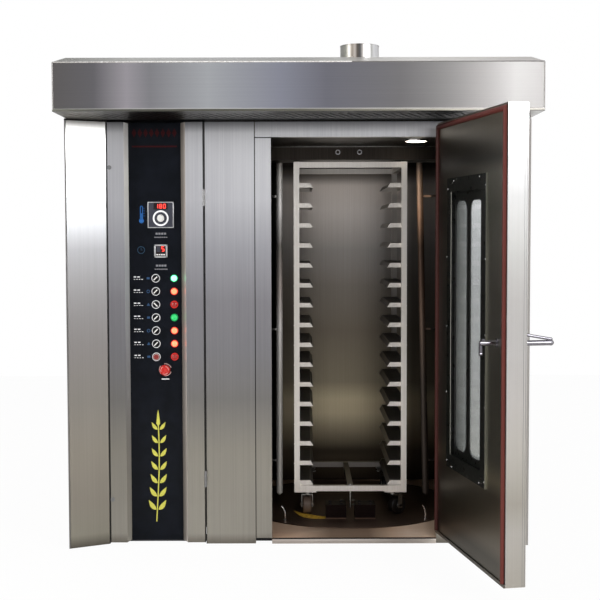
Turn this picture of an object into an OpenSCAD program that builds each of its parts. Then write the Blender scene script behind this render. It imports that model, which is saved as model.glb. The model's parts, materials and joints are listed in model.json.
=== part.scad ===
// Rotating rack oven: a trolley of tray runners turns on a floor turntable inside a heated chamber.
// X runs to the right, Y away from the user, Z up, in millimetres. The origin lies on the floor at the
// middle of the body's width, level with the turntable's axis.

/* [Cabinet] */
// Width of the cabinet
body_w = 2140; // [2120:5:2240]
// From the turntable's axis to the front face
front_reach = 747; // [730:1:790]
// From the turntable's axis to the rear face
rear_reach = 747; // [735:1:820]
// Height of the roof panel above the floor
roof_z = 2080; // [2065:5:2160]
// Thickness of the outer stainless sheet
skin_t = 2; // [1.5:0.5:3]
// Depth of the folded flanges on the front panels
flange = 25; // [15:1:30]
// Width of the canted corner at each side
wing_w = 176; // [160:1:190]
// How far the left corner stands in front of the face
left_proud = 91; // [40:1:110]
// How far the right corner stands in front of the face
right_proud = 45; // [20:1:90]
// Gap at the seams between front panels
seam = 3; // [2:0.5:4]
// Height of the base rails
base_h = 20; // [18:1:26]
// Width of the base rails
rail_w = 50; // [30:5:60]

/* [Control column] */
// Width of the control column's door
control_w = 453; // [430:1:480]
// Width of the plain column beside it
column_w = 236; // [225:1:260]
// Depth of the recess that holds the black panel
recess_d = 55; // [45:1:70]
// Width of the black panel
panel_w = 247; // [235:1:250]
// Thickness of the black panel
panel_t = 4; // [2:0.5:6]
// Width of the flat strip left of the recess
strip_left = 81; // [70:1:90]
// Width of the recess wall that slopes on the left, seen from the front
splay_left = 14; // [8:1:20]
// Width of the recess wall that slopes on the right, seen from the front
splay_right = 25; // [15:1:30]
// Underside of the control door
control_z0 = 8; // [5:1:30]

/* [Door opening] */
// Width of the opening into the chamber
opening_w = 774; // [750:2:790]
// Top of the opening
opening_z = 1910; // [1900:2:1930]
// Width of the frame strip left of the opening
jamb_w = 75; // [72:1:90]
// Depth of the frame, which is the thickness of the front wall
jamb_d = 50; // [45:1:60]
// Thickness of the chamber's floor plate and of the turntable
floor_t = 8; // [6:1:12]

/* [Oven door] */
// How far the door laps over the opening on each side
door_lap = 64; // [55:1:70]
// Thickness of the door leaf
door_t = 83.5; // [70:0.5:95]
// Underside of the door
door_z0 = 89; // [70:1:100]
// Top of the door
door_z1 = 1958; // [1950:1:1970]
// Gap between the closed door and the frame
door_gap = 14; // [12:0.5:18]
// How far the door stands open
door_open = 100.6; // [90:0.1:120]
// From the door's corner to the hinge pin, both ways
hinge_off = 10; // [9:0.5:14]
// Radius of the hinge pin
hinge_pin_r = 5; // [4:0.5:6]
// Width of the gasket
gasket_w = 22; // [16:1:26]
// From the door's edge to the gasket
gasket_in = 8; // [5:1:14]
// Window frame, from the hinge side of the door
window_s0 = 168; // [150:1:190]
// Width of the window frame
window_w = 511; // [480:1:530]
// Lower edge of the window frame
window_z0 = 430; // [400:5:450]
// Upper edge of the window frame
window_z1 = 1702; // [1650:2:1720]
// Width of the window frame's border
window_border = 60; // [50:1:75]
// Handle spindle, from the opening's edge
spindle_in = 33; // [30:1:40]
// Height of the handle spindle
spindle_z = 1034; // [950:2:1100]
// How far the handle stands out
handle_out = 142; // [125:1:150]

/* [Hood] */
// Width of the hood
hood_w = 2120; // [2060:5:2120]
// How far the hood stands in front of the face
hood_d = 393; // [330:1:420]
// Underside of the hood
hood_z0 = 1989; // [1983:1:1995]
// Top edge of the hood's front
hood_z1 = 2200; // [2160:2:2230]
// Width of the bevel round the hood's top
hood_bevel = 50; // [30:1:60]
// Rise of the bevel
hood_rise = 25; // [10:1:35]
// Outer radius of the flue spigot
flue_r = 85; // [70:1:95]
// Height of the flue spigot above the hood
flue_h = 63; // [50:1:90]
// From the hood's front to the middle of the flue
flue_in = 155; // [150:1:200]

/* [Turntable and drive] */
// Radius of the turntable
turn_r = 573; // [560:1:577]
// Gap round the turntable
turn_gap = 3; // [2:0.5:5]
// From the turntable's rim to the chamber's walls
wall_gap = 27; // [24:1:35]
// Radius of the turntable's pivot pin
pivot_r = 20; // [15:1:25]

/* [Rack] */
// Width of the rack
rack_w = 567; // [540:1:580]
// Depth of the rack
rack_d = 659; // [600:1:665]
// Underside of the rack's frame
rack_z0 = 160; // [155:1:175]
// Top of the rack's frame
rack_z1 = 1819; // [1810:1:1825]
// Side of the square tube in the rack's frame
tube = 28; // [24:1:30]
// Number of tray levels
levels = 16; // [8:1:16]
// Width of a tray runner
runner_w = 96; // [80:1:105]
// Height of a tray runner
runner_h = 22; // [18:1:26]
// Radius of the caster wheels
wheel_r = 45; // [40:1:48]
// Width of the caster wheels
wheel_w = 40; // [30:1:42]
// Trail of the swivelling casters
trail = 28; // [20:1:32]
// From the rack's outer sides to its casters
caster_in = 65; // [60:1:80]

/* [Hidden] */

$fn = 48;
clear = 0.3;        // gap between faces that pass each other
running = 0.05;     // radial clearance of a turning fit
eps = 0.5;          // overlap that joins or cuts neighbouring shapes cleanly

steel = "lightgray";
bright = "gainsboro";
dark = "dimgray";

// Plan positions, from left to right
left_x = -body_w / 2;
control_x0 = left_x + wing_w;
control_x1 = control_x0 + control_w;
jamb_x0 = control_x1 + column_w;
open_x0 = jamb_x0 + jamb_w;
open_x1 = open_x0 + opening_w;
right_x = body_w / 2;
wing_x1 = right_x - wing_w;
axis_x = (open_x0 + open_x1) / 2;
front_y = -front_reach;
inner_front_y = front_y + jamb_d;
floor_z = base_h + floor_t;

// Chamber
chamber_t = 3;
chamber_half = turn_r + wall_gap;
chamber_x0 = axis_x - chamber_half;
chamber_x1 = axis_x + chamber_half;
chamber_y1 = chamber_half;
side_air = 106;
rear_air = 40;
roof_air = 63;
lamp_r = 51;
lamp_from_axis = [310, -508];
bar_r = 16;
bar_foot = [-359, 382];
bar_head = [-354, 345];
bar_y = -317;
bar_z0 = 150;
bar_z1 = opening_z - 95;
ceiling_z = opening_z + skin_t;
baffle_half = 123;
baffle_z0 = opening_z - 68;
bolt_from_axis = 56;
bolt_r = 11;

// Oven door: it is drawn closed, with its hinge-side outer corner at the local origin, and turned open
door_w = opening_w + 2 * door_lap;
pin_x = open_x1 + door_lap + hinge_off;
pin_y = front_y - door_gap - door_t - hinge_off;
knuckle_r = hinge_off - clear;
door_hinge_z = [door_z0 + 190, (door_z0 + door_z1) / 2, door_z1 - 190];
knuckle_h = 50;
liner_t = 2;
spindle_r = 8;
spindle_x = spindle_in - opening_w - door_lap;
cam_reach = 42;
cam_t = 10;
cam_y = door_t + door_gap + jamb_d + 2;
grip_r = 11;
swell = 0.7;
loop_r = 6;
loop_rise = 34;
pane_t = 5;
pane_back = 14;
window_x0 = -window_s0 - window_w;
reveal_t = 3;
mask_t = 2;
mask_y = door_t - pane_back + pane_t / 2 + clear;
light_side = 20;
light_foot = 31;
light_head = 40;
light_r = 48;
mullion_w = 41;
light_w = (window_w - 2 * window_border - 2 * light_side - mullion_w) / 2;
hem_h = 14;
hem_t = 5;

// Control column
control_z1 = hood_z0 - 9;
control_hinge_z = [311, 1630];
control_hinge_h = 76;
control_pin_r = 3;
control_knuckle_r = 6;
control_pin_y = front_y - control_knuckle_r;
recess_x0 = control_x0 + strip_left;
panel_x0 = recess_x0 + splay_left;
panel_x1 = panel_x0 + panel_w;
recess_x1 = panel_x1 + splay_right;
panel_y = front_y + recess_d - panel_t;
switch_x = panel_x0 + 124.5;
lamp_x = panel_x1 - 36;
switch_pitch = 61.8;
switch_top_z = 1254;
switch_z = [for (i = [0 : 6]) switch_top_z - i * switch_pitch];
selector_turn = [-45, -45, 45, -45, -45, -45];
stop_x = panel_x0 + 166;
stop_z = switch_z[6] - 62;
stem_r = 5;
stem_len = panel_t + skin_t + 8;
bezel_r = 19;
bezel_h = 4;
knob_r = 14;
stop_r = 25;
lens_r = 14;
controller_side = 122;
controller_x = panel_x0 + 150.7;
controller_z = 1551.5;
controller_t = 6;
dial_x = controller_x;
dial_z = controller_z - 15.5;
dial_r = 17;
timer_side = 62;
timer_x = dial_x - 1;
timer_z = 1382;
latch_x = control_x0 + 14;
latch_z = [214, 1771];
latch_r = 7;
latch_reach = 26;

// Hood
hood_y0 = front_y - hood_d;
hood_top = hood_z1 + hood_rise;
flue_x = axis_x + 13;
flue_y = hood_y0 + flue_in;
flue_t = 2;

// Rack
rack_x = rack_w / 2;
rack_y = rack_d / 2;
caster_x = rack_x - caster_in;
caster_y = rack_y - caster_in;
post_x = rack_x - tube / 2;
post_y = rack_y - tube / 2;
runner_z0 = rack_z0 + tube;
runner_pitch = (rack_z1 - tube - runner_z0 - 98) / (levels - 1);
runner_slope = 14;
wheel_axis_z = floor_z + clear + wheel_r;
lock_r = 5;
lock_y = -post_y;
catch_gap = 44;
catch_w = caster_x - norm([trail + wheel_r, wheel_w / 2]) - 18 - catch_gap / 2;
catch_h = 70;
catch_d = 100;
fork_turn = [0, -55];
fork_t = 3;
fork_gap = 6;
fork_top = rack_z0 - 26;
fork_outer = wheel_w / 2 + fork_gap + fork_t;
axle_r = 6;
swivel_r = 6;
caster_plate_t = 6;

// Friction drive: the roller bears on the turntable's rim, its motor stands outside the chamber's wall
motor_neck_r = 10;
roller_r = wall_gap + chamber_t + motor_neck_r;
roller_x = -turn_r - roller_r - clear;
wall_from_roller = roller_r + clear - wall_gap - chamber_t;
roller_pin_r = 5;

// ---------- helpers ----------
function unit(v) = v / norm(v);
function side_normal(a, b) = let (d = unit(b - a)) [-d[1], d[0]];
function segment_normal(pts, i) = side_normal(pts[i], pts[i + 1]);
function mitre(m, n) = (m + n) / (1 + m * n);
function shifted(pts, t) = [for (i = [0 : len(pts) - 1])
    pts[i] + t * mitre(segment_normal(pts, max(i - 1, 0)), segment_normal(pts, min(i, len(pts) - 2)))];
function reversed(pts) = [for (i = [len(pts) - 1 : -1 : 0]) pts[i]];

// A sheet folded along a plan outline; its thickness lies to the left of the path
module folded(pts, t, h) linear_extrude(h) polygon(concat(pts, reversed(shifted(pts, t))));

// A box given by its lowest and highest corners
module block(lo, hi) translate(lo) cube(hi - lo);

// A rod between two points
module rod(a, b, r) {
    d = b - a;
    translate(a) rotate([0, acos(d[2] / norm(d)), atan2(d[1], d[0])]) cylinder(r = r, h = norm(d));
}

// Local Z points out of the control panel towards the user
module on_panel(x, z) translate([x, panel_y, z]) rotate([90, 0, 0]) children();

// Puts what is drawn in the closed door's own frame where the open door is
module on_door() translate([pin_x, pin_y, 0]) rotate([0, 0, door_open])
    translate([-hinge_off, hinge_off, 0]) children();

module at_axis() translate([axis_x, 0, 0]) children();

// ---------- cabinet ----------
module base_frame() color(dark) {
    ring_r = turn_r - 60;
    bar_h = 6;
    inner = rail_w + skin_t;
    front = front_y + max(recess_d, jamb_d, flange) + 2;
    difference() {
        union() {
            difference() {
                block([left_x + skin_t, front, 0], [right_x - skin_t, rear_reach - skin_t, base_h]);
                block([left_x + inner, front + rail_w, -eps],
                    [right_x - inner, rear_reach - inner, base_h + eps]);
            }
            block([left_x + inner - eps, -60, 0], [right_x - inner + eps, 60, bar_h]);
            at_axis() difference() {
                cylinder(r = ring_r + 20, h = bar_h, $fn = 96);
                translate([0, 0, -eps]) cylinder(r = ring_r - 20, h = bar_h + 2 * eps, $fn = 96);
            }
            at_axis() cylinder(r = 2.5 * pivot_r, h = base_h - 2);
            for (a = [22.5 : 45 : 360])
                at_axis() rotate([0, 0, a]) translate([ring_r, 0, 0]) cylinder(r = 15, h = base_h - clear);
        }
        at_axis() translate([0, 0, bar_h]) cylinder(r = pivot_r + running, h = base_h);
    }
}

module chamber_floor() color(bright) {
    lip = 22;
    difference() {
        block([chamber_x0, inner_front_y, base_h], [chamber_x1, chamber_y1, floor_z]);
        at_axis() translate([0, 0, base_h - eps])
            cylinder(r = turn_r + turn_gap, h = floor_t + 2 * eps, $fn = 96);
        at_axis() translate([roller_x, 0, base_h - eps])
            cylinder(r = roller_r + turn_gap, h = floor_t + 2 * eps);
    }
    difference() {
        block([open_x0, front_y, floor_z - lip], [open_x1, inner_front_y + eps, floor_z]);
        block([open_x0 - eps, front_y + skin_t, floor_z - lip - eps], [open_x1 + eps, inner_front_y, base_h]);
    }
}

module side_panel(proud) {
    outline = [[wing_w, flange], [wing_w, 0], [0, -proud], [0, 0]];
    translate([0, front_y, skin_t]) folded(outline, -skin_t, hood_z0 - skin_t);
    block([0, front_y, skin_t], [skin_t, rear_reach - skin_t, roof_z]);
}

module left_side_panel() color(steel) translate([left_x, 0, 0]) side_panel(left_proud);

module right_side_panel() color(steel) translate([right_x, 0, 0]) mirror([1, 0, 0]) side_panel(right_proud);

module rear_panel() color(steel) {
    gland = [left_x + 220, 300];
    nipple = [left_x + 320, 300];
    difference() {
        union() {
            block([left_x, rear_reach - skin_t, skin_t], [right_x, rear_reach, roof_z]);
            translate([gland[0], rear_reach - skin_t, gland[1]]) rotate([-90, 0, 0]) {
                cylinder(r = 20, h = skin_t + 28);
                cylinder(r = 26, h = skin_t + 6, $fn = 6);
            }
            translate([nipple[0], rear_reach - skin_t, nipple[1]]) rotate([-90, 0, 0]) {
                cylinder(r = 10.5, h = skin_t + 28);
                cylinder(r = 22, h = skin_t + 4);
            }
        }
        translate([gland[0], rear_reach - skin_t - eps, gland[1]]) rotate([-90, 0, 0])
            cylinder(r = 12, h = skin_t + 30);
        translate([nipple[0], rear_reach - skin_t - eps, nipple[1]]) rotate([-90, 0, 0])
            cylinder(r = 7, h = skin_t + 30);
    }
}

duct_w = 200;        // air duct between the chamber and the control column
fan_at = [chamber_x0 - duct_w, 300];
wall_from_fan = duct_w - chamber_t;
fan_shaft_r = 12;
fan_drop = 420;
fan_r = 150;
fan_h = 120;
fan_eye_r = 80;
fan_plate_t = 4;
blade_l = 45;
blades = 12;
motor_r = 85;
motor_h = 195;
motor_plate_r = 110;
motor_plate_t = 10;
fin = [12, 4, 145];
element_r = 5;
element_bend = 26;
element_rows = 6;
element_pitch = 130;
element_len = 310;
element_z0 = 420;
element_plate_y = 150;
duct_half = 110;
boiler_y = -250;
boiler_z0 = 60;
boiler_steps = 5;
step_rise = 70;
step_run = 28;
relay_z = [1180, 1380];
relay_h = [90, 100];
relay_d = [85, 75];
relay_w = [65, 60];
terminal_z = [980, 1030];
drive_z = [700, 860];

module roof_panel() color(steel) difference() {
    block([left_x, front_y, roof_z], [right_x, rear_reach, roof_z + skin_t]);
    translate([fan_at[0], fan_at[1], roof_z - eps]) cylinder(r = fan_shaft_r + 3, h = skin_t + 2 * eps);
}

// Butt hinge of the control column: the fixed leaf's knuckles hold the pin
module column_knuckle(z, first, last) {
    step = control_hinge_h / 3;
    for (k = [first : 2 : last]) translate([control_x1, control_pin_y, z - control_hinge_h / 2 + k * step])
        children();
}

module front_column_panel() color(steel) {
    x0 = control_x1 + seam / 2;
    x1 = jamb_x0 - seam / 2;
    knuckle = control_hinge_h / 3 - clear;
    translate([0, 0, skin_t]) folded([[x0, front_y + flange], [x0, front_y], [x1, front_y],
        [x1, front_y + flange]], skin_t, hood_z0 - skin_t);
    for (z = control_hinge_z) {
        column_knuckle(z, 0, 2) {
            cylinder(r = control_knuckle_r - clear, h = knuckle);
            translate([0, 0, 0]) cube([control_knuckle_r + 4, control_knuckle_r, knuckle]);
        }
        translate([control_x1, control_pin_y, z - control_hinge_h / 2])
            cylinder(r = control_pin_r, h = control_hinge_h - clear);
    }
}

module hinge_column_panel() color(steel) translate([0, 0, skin_t])
    folded([[open_x1, inner_front_y], [open_x1, front_y], [wing_x1 - seam, front_y],
        [wing_x1 - seam, front_y + flange]], skin_t, hood_z0 - skin_t);

module door_frame() color(bright) {
    x0 = jamb_x0 + seam / 2;
    keeper = [24, 3, 110];
    translate([0, 0, floor_z]) folded([[x0, front_y + flange], [x0, front_y], [open_x0, front_y],
        [open_x0, inner_front_y]], skin_t, opening_z - floor_z);
    block([x0, front_y, opening_z], [open_x1, front_y + skin_t, roof_z]);
    block([x0, front_y, opening_z], [open_x1, inner_front_y, opening_z + skin_t]);
    block([open_x1 - eps, front_y, hood_z0], [right_x - skin_t, front_y + skin_t, roof_z]);
    block([left_x + skin_t, front_y, hood_z0], [x0 + eps, front_y + skin_t, roof_z]);
    translate([open_x0 - keeper[0], inner_front_y - keeper[1], spindle_z - keeper[2] / 2]) cube(keeper);
}

module chamber_front_wall() color(steel) {
    keeper_room = 30;
    y1 = inner_front_y + chamber_t;
    block([chamber_x0 - chamber_t, inner_front_y, floor_z], [open_x0 - keeper_room, y1, ceiling_z]);
    block([open_x1, inner_front_y, floor_z], [chamber_x1 + chamber_t, y1, ceiling_z]);
}

// Rows of upright slots that let the hot air through a chamber wall, cut along X
module air_slots(x, y0, columns, column_pitch, rows) {
    slot = [14, 90];
    z0 = floor_z + 110;
    row_pitch = (opening_z - z0 - 160) / rows;
    for (i = [0 : columns - 1], j = [0 : rows - 1])
        translate([x - 20, y0 + i * column_pitch, z0 + j * row_pitch]) cube([40, slot[0], slot[1]]);
}

module chamber_left_wall() color(steel) difference() {
    block([chamber_x0 - chamber_t, inner_front_y + chamber_t, floor_z], [chamber_x0, chamber_y1, ceiling_z]);
    air_slots(chamber_x0, -180, 6, 60, 12);
}

module chamber_right_wall() color(steel) difference() {
    block([chamber_x1, inner_front_y + chamber_t, floor_z], [chamber_x1 + chamber_t, chamber_y1, ceiling_z]);
    air_slots(chamber_x1, -180, 6, 60, 12);
}

module chamber_rear_wall() color(steel)
    block([chamber_x0 - chamber_t, chamber_y1, floor_z],
        [chamber_x1 + chamber_t, chamber_y1 + chamber_t, ceiling_z]);

module chamber_ceiling() color(steel) difference() {
    block([chamber_x0 - chamber_t, inner_front_y, ceiling_z],
        [chamber_x1 + chamber_t, chamber_y1 + chamber_t, ceiling_z + chamber_t]);
    at_axis() translate([lamp_from_axis[0], lamp_from_axis[1], opening_z - eps])
        cylinder(r = lamp_r - 8, h = skin_t + chamber_t + 2 * eps);
}

module insulation() color("khaki") {
    gap = 2;
    x0 = chamber_x0 - chamber_t;
    x1 = chamber_x1 + chamber_t + gap;
    y1 = chamber_y1 + chamber_t + gap;
    z1 = ceiling_z + chamber_t + gap;
    x2 = right_x - skin_t - side_air;
    y2 = rear_reach - skin_t - rear_air;
    z2 = roof_z - roof_air;
    block([x0, y1, base_h], [x1 - gap, y2, z1 - gap]);
    block([x1, inner_front_y + 10, base_h], [x2, y2, z1 - gap]);
    difference() {
        block([x0, inner_front_y + 10, z1], [x2, y2, z2]);
        at_axis() translate([lamp_from_axis[0], lamp_from_axis[1], z1 - eps])
            cylinder(r = lamp_r + 4, h = z2 - z1 + 2 * eps);
    }
}

// Box-shaped air baffle across the ceiling, with two bolt rings on its front
module ceiling_baffle() color(dark) at_axis() {
    top = ceiling_z - baffle_z0;
    outline = [[-baffle_half, top], [-baffle_half, 0], [baffle_half, 0], [baffle_half, top]];
    translate([-chamber_half, 0, baffle_z0]) rotate([90, 0, 90]) folded(outline, skin_t, 2 * chamber_half);
    for (s = [-1, 1]) translate([s * bolt_from_axis, -baffle_half, baffle_z0 + 39]) rotate([90, 0, 0])
    difference() {
        cylinder(r = bolt_r, h = 6);
        translate([0, 0, 2]) cylinder(r = bolt_r / 2, h = 6);
    }
}

// Guide bars that keep the rack off the walls, each on three arms; the right one leans inwards
module guide_bars() color(bright) at_axis() for (i = [0, 1]) {
    foot = [bar_foot[i], bar_y, bar_z0];
    head = [bar_head[i], bar_y, bar_z1];
    rod(foot, head, bar_r);
    translate(foot) rotate([180, 0, 0]) cylinder(r1 = 12, r2 = 4, h = 10);
    for (f = [0.1, 0.5, 0.9]) rod(foot + f * (head - foot), [i == 0 ? -chamber_half : chamber_half, bar_y,
        bar_z0 + f * (bar_z1 - bar_z0)], 6);
}

module chamber_lamp() color("white") at_axis() translate([lamp_from_axis[0], lamp_from_axis[1], 0]) {
    can = 70;
    translate([0, 0, opening_z - 6]) cylinder(r1 = lamp_r - 6, r2 = lamp_r, h = 6 + skin_t);
    translate([0, 0, opening_z]) cylinder(r = lamp_r - 9, h = can);
}

// ---------- drive and heating ----------
module drive_gearmotor() color("slategray") at_axis() translate([roller_x, 0, 0]) difference() {
    box = [110, 120, 90];
    z0 = floor_z + 20;
    neck_z = base_h + floor_t - 2 + clear;
    union() {
        translate([wall_from_roller - box[0], -box[1] / 2, z0]) cube(box);
        translate([-60, 0, z0 + box[2] / 2]) rotate([-90, 0, 0]) cylinder(r = 42, h = box[1] / 2 + 190);
        translate([0, 0, neck_z]) cylinder(r = wall_from_roller - clear, h = z0 - neck_z + eps);
    }
    translate([0, 0, neck_z - eps]) cylinder(r = roller_pin_r + running, h = 50);
}

module drive_roller() color("silver") at_axis() translate([roller_x, 0, base_h]) {
    cylinder(r = roller_r, h = floor_t - 2);
    cylinder(r = roller_pin_r, h = 50);
}

// ---------- hood ----------
module hood_solid(inset) {
    x = hood_w / 2 - inset;
    y0 = hood_y0 + inset;
    y1 = front_y - inset;
    z0 = inset > 0 ? hood_z0 - eps : hood_z0;
    z1 = hood_z1 - inset / 2;
    z2 = hood_top - inset;
    intersection() {
        translate([-x, 0, 0]) rotate([90, 0, 90]) linear_extrude(2 * x)
            polygon([[y0, z0], [y0, z1], [y0 + hood_bevel, z2], [y1 - hood_bevel, z2], [y1, z1], [y1, z0]]);
        translate([0, y1, 0]) rotate([90, 0, 0]) linear_extrude(y1 - y0)
            polygon([[-x, z0], [-x, z1], [-x + hood_bevel, z2], [x - hood_bevel, z2], [x, z1], [x, z0]]);
    }
}

module hood_shell() color(steel) difference() {
    hood_solid(0);
    hood_solid(skin_t);
    translate([flue_x, flue_y, hood_z1]) cylinder(r = flue_r - flue_t, h = hood_rise + eps);
}

// Slanted slots in the hood's underside draw in the steam that leaves the door
module hood_grille() color(steel) {
    margin = skin_t;
    count = 52;
    x0 = -hood_w / 2 + margin;
    pitch = (hood_w - 2 * margin - 160) / (count - 1);
    slot = [9, hood_d - 190];
    difference() {
        block([x0, hood_y0 + margin, hood_z0], [-x0, front_y - margin, hood_z0 + skin_t]);
        for (i = [0 : count - 1]) translate([x0 + 80 + i * pitch, hood_y0 + hood_d / 2, hood_z0 - eps])
            rotate([0, 0, -20]) translate([-slot[0] / 2, -slot[1] / 2, 0])
                cube([slot[0], slot[1], skin_t + 2 * eps]);
    }
}

module flue_spigot() color(bright) translate([flue_x, flue_y, hood_top]) difference() {
    union() {
        cylinder(r = flue_r, h = flue_h, $fn = 64);
        cylinder(r = flue_r + 18, h = 3, $fn = 64);
    }
    translate([0, 0, -eps]) cylinder(r = flue_r - flue_t, h = flue_h + 2 * eps, $fn = 64);
}

module fan_motor() color("slategray") translate([fan_at[0], fan_at[1], roof_z + skin_t]) {
    difference() {
        union() {
            cylinder(r = motor_plate_r, h = motor_plate_t);
            translate([0, 0, motor_plate_t]) cylinder(r = motor_r, h = motor_h - motor_plate_t);
            for (a = [0 : 30 : 330]) rotate([0, 0, a]) translate([motor_r - 1, -fin[1] / 2, 2 * motor_plate_t])
                cube(fin);
        }
        translate([0, 0, -eps]) cylinder(r = fan_shaft_r + 3, h = 60);
    }
}

module circulation_fan() color(dark) translate([fan_at[0], fan_at[1], 0]) {
    z0 = opening_z - fan_drop;
    difference() {
        union() {
            for (z = [z0, z0 + fan_h - fan_plate_t]) translate([0, 0, z]) cylinder(r = fan_r, h = fan_plate_t);
            for (i = [0 : blades - 1]) rotate([0, 0, i * 360 / blades])
                translate([fan_r - blade_l, 0, z0]) rotate([0, 0, 35]) cube([blade_l - 3, 3, fan_h]);
        }
        translate([0, 0, z0 - eps]) cylinder(r = fan_eye_r, h = fan_plate_t + 2 * eps);
    }
    translate([0, 0, z0 + fan_h - 30]) cylinder(r = 34, h = 30);
    translate([0, 0, z0 + fan_h - 8]) cylinder(r = fan_shaft_r, h = roof_z + skin_t + 40 - z0 - fan_h);
}

// Bank of hairpin elements on a terminal plate in the air duct beside the chamber
module heating_elements() color("sienna") translate([fan_at[0], fan_at[1], 0]) {
    translate([-duct_half, element_plate_y, element_z0 - 40])
        cube([duct_half + wall_from_fan, 4, element_rows * element_pitch + 40]);
    for (i = [0 : element_rows - 1], s = [-1, 1])
        translate([s * duct_half / 2 + s, element_plate_y, element_z0 + i * element_pitch]) {
            for (q = [-1, 1]) translate([q * element_bend, 0, 0]) rotate([90, 0, 0])
                cylinder(r = element_r, h = element_len);
            translate([0, -element_len, 0]) rotate([0, 0, 180]) rotate_extrude(angle = 180)
                translate([element_bend, 0]) circle(r = element_r);
        }
}

// Stepped cast block that water runs down, with its sprinkler pipe on two lugs
module steam_generator() color(dark) translate([fan_at[0], boiler_y, 0]) {
    depth = boiler_steps * step_run + 2;
    pipe = [40, boiler_z0 + boiler_steps * step_rise];
    translate([-duct_half, -90, boiler_z0 - 12]) cube([duct_half + wall_from_fan, depth, 12]);
    for (i = [0 : boiler_steps - 1]) translate([-duct_half, -90 + i * step_run, boiler_z0])
        cube([2 * duct_half, step_run + 2, 60 + i * step_rise]);
    translate([-duct_half - 10, pipe[0], pipe[1]]) rotate([0, 90, 0]) cylinder(r = 8, h = 2 * duct_half + 20);
    for (x = [-duct_half, duct_half - 20]) translate([x, pipe[0] - 8, pipe[1] - 20]) cube([20, 16, 20]);
}

module electrical_plate() color("darkorange") {
    y = front_y + 250;
    t = 3;
    x0 = control_x0 + 40;
    x1 = control_x1 - 40;
    block([left_x + skin_t, y, base_h], [chamber_x0 - chamber_t, y + t, roof_z]);
    for (i = [0 : 3], k = [0, 1]) translate([x0 + 30 + i * 80, y - relay_d[k], relay_z[k]])
        cube([relay_w[k], relay_d[k] + eps, relay_h[k]]);
    block([x0 + 30, y - 45, terminal_z[0]], [x1 - 30, y + eps, terminal_z[1]]);
    block([x0 + 60, y - 60, drive_z[0]], [x1 - 60, y + eps, drive_z[1]]);
}

// ---------- oven door hinges ----------
module hinge_brackets() color(bright) for (z = door_hinge_z) {
    reach = 62;
    arm = 12;
    for (s = [-1, 1]) translate([pin_x, pin_y, z + s * (knuckle_h / 2 + clear) - (s < 0 ? knuckle_h / 2 : 0)]) {
        cylinder(r = knuckle_r, h = knuckle_h / 2);
        translate([0, -knuckle_r, 0]) cube([reach, arm, knuckle_h / 2]);
        translate([reach - arm, -knuckle_r, 0]) cube([arm, front_y - pin_y + knuckle_r, knuckle_h / 2]);
    }
    translate([pin_x + reach - arm, front_y - 6, z - knuckle_h]) cube([70, 6, 2 * knuckle_h]);
    translate([pin_x, pin_y, z - knuckle_h - clear]) cylinder(r = hinge_pin_r, h = 2 * knuckle_h + 2 * clear);
}

// ---------- turntable and rack ----------
module turntable_disc() color(steel) at_axis() {
    translate([0, 0, base_h]) cylinder(r = turn_r, h = floor_t, $fn = 96);
    translate([0, 0, base_h - 2 + clear]) cylinder(r = 2 * pivot_r, h = 2);
    translate([0, 0, 7]) cylinder(r = pivot_r, h = base_h - 6);
    for (s = [-1, 1])
        translate([s * (catch_gap + catch_w) / 2 - catch_w / 2, lock_y - catch_d / 2, floor_z - eps])
            cube([catch_w, catch_d, catch_h + eps]);
}

module rack_frame() color("gainsboro") at_axis() difference() {
    half = tube / 2;
    union() {
        for (sx = [-1, 1], sy = [-1, 1]) {
            translate([sx * post_x - half, sy * post_y - half, rack_z0]) cube([tube, tube, rack_z1 - rack_z0]);
            translate([sx * (rack_x - 55) - 55, sy * (rack_y - 55) - 55, rack_z0 - caster_plate_t])
                cube([110, 110, caster_plate_t + eps]);
        }
        for (z = [rack_z0, rack_z1 - tube], s = [-1, 1]) {
            block([-post_x, s * post_y - half, z], [post_x, s * post_y + half, z + tube]);
            block([s * post_x - half, -post_y, z], [s * post_x + half, post_y, z + tube]);
        }
        block([-half, -post_y, rack_z0], [half, post_y, rack_z0 + tube]);
        for (s = [-1, 1]) translate([s * caster_x, caster_y, 0]) fixed_fork();
    }
    translate([0, lock_y, rack_z0 - eps]) cylinder(r = lock_r + running, h = tube + 2 * eps);
    for (s = [-1, 1]) translate([s * caster_x, -caster_y, rack_z0 - caster_plate_t - eps])
        cylinder(r = swivel_r + running, h = caster_plate_t + 2 * eps);
}

module fork_cheeks(y0, y1) for (s = [-1, 1])
    translate([s * (fork_outer - fork_t / 2) - fork_t / 2, y0, wheel_axis_z - 12])
        cube([fork_t, y1 - y0, fork_top - wheel_axis_z + 12]);

// Rear casters don't swivel: their forks are part of the rack and hold the wheels' axles
module fixed_fork() {
    fork_cheeks(-16, 16);
    translate([-fork_outer, -20, fork_top - fork_t]) cube([2 * fork_outer, 40, fork_t]);
    translate([0, 0, fork_top - eps]) cylinder(r = 20, h = rack_z0 - fork_top);
    translate([-fork_outer - 6, 0, wheel_axis_z]) rotate([0, 90, 0])
        cylinder(r = axle_r, h = 2 * fork_outer + 12);
}

module tray_runner() {
    length = rack_d - 2 * tube;
    t = 1.5;
    outline = [[0, 0], [0, runner_h], [runner_w - runner_slope, runner_h], [runner_w, 0]];
    translate([0, length / 2, 0]) rotate([90, 0, 0]) folded(outline, -t, length);
    for (y = [-length / 2, length / 2 - t]) translate([0, y + t, 0]) rotate([90, 0, 0])
        linear_extrude(t) polygon(outline);
}

module tray_runners() color("gainsboro") at_axis() for (i = [0 : levels - 1]) {
    z = runner_z0 + i * runner_pitch;
    translate([-rack_x, 0, z]) tray_runner();
    translate([rack_x, 0, z]) mirror([1, 0, 0]) tray_runner();
}

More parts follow.
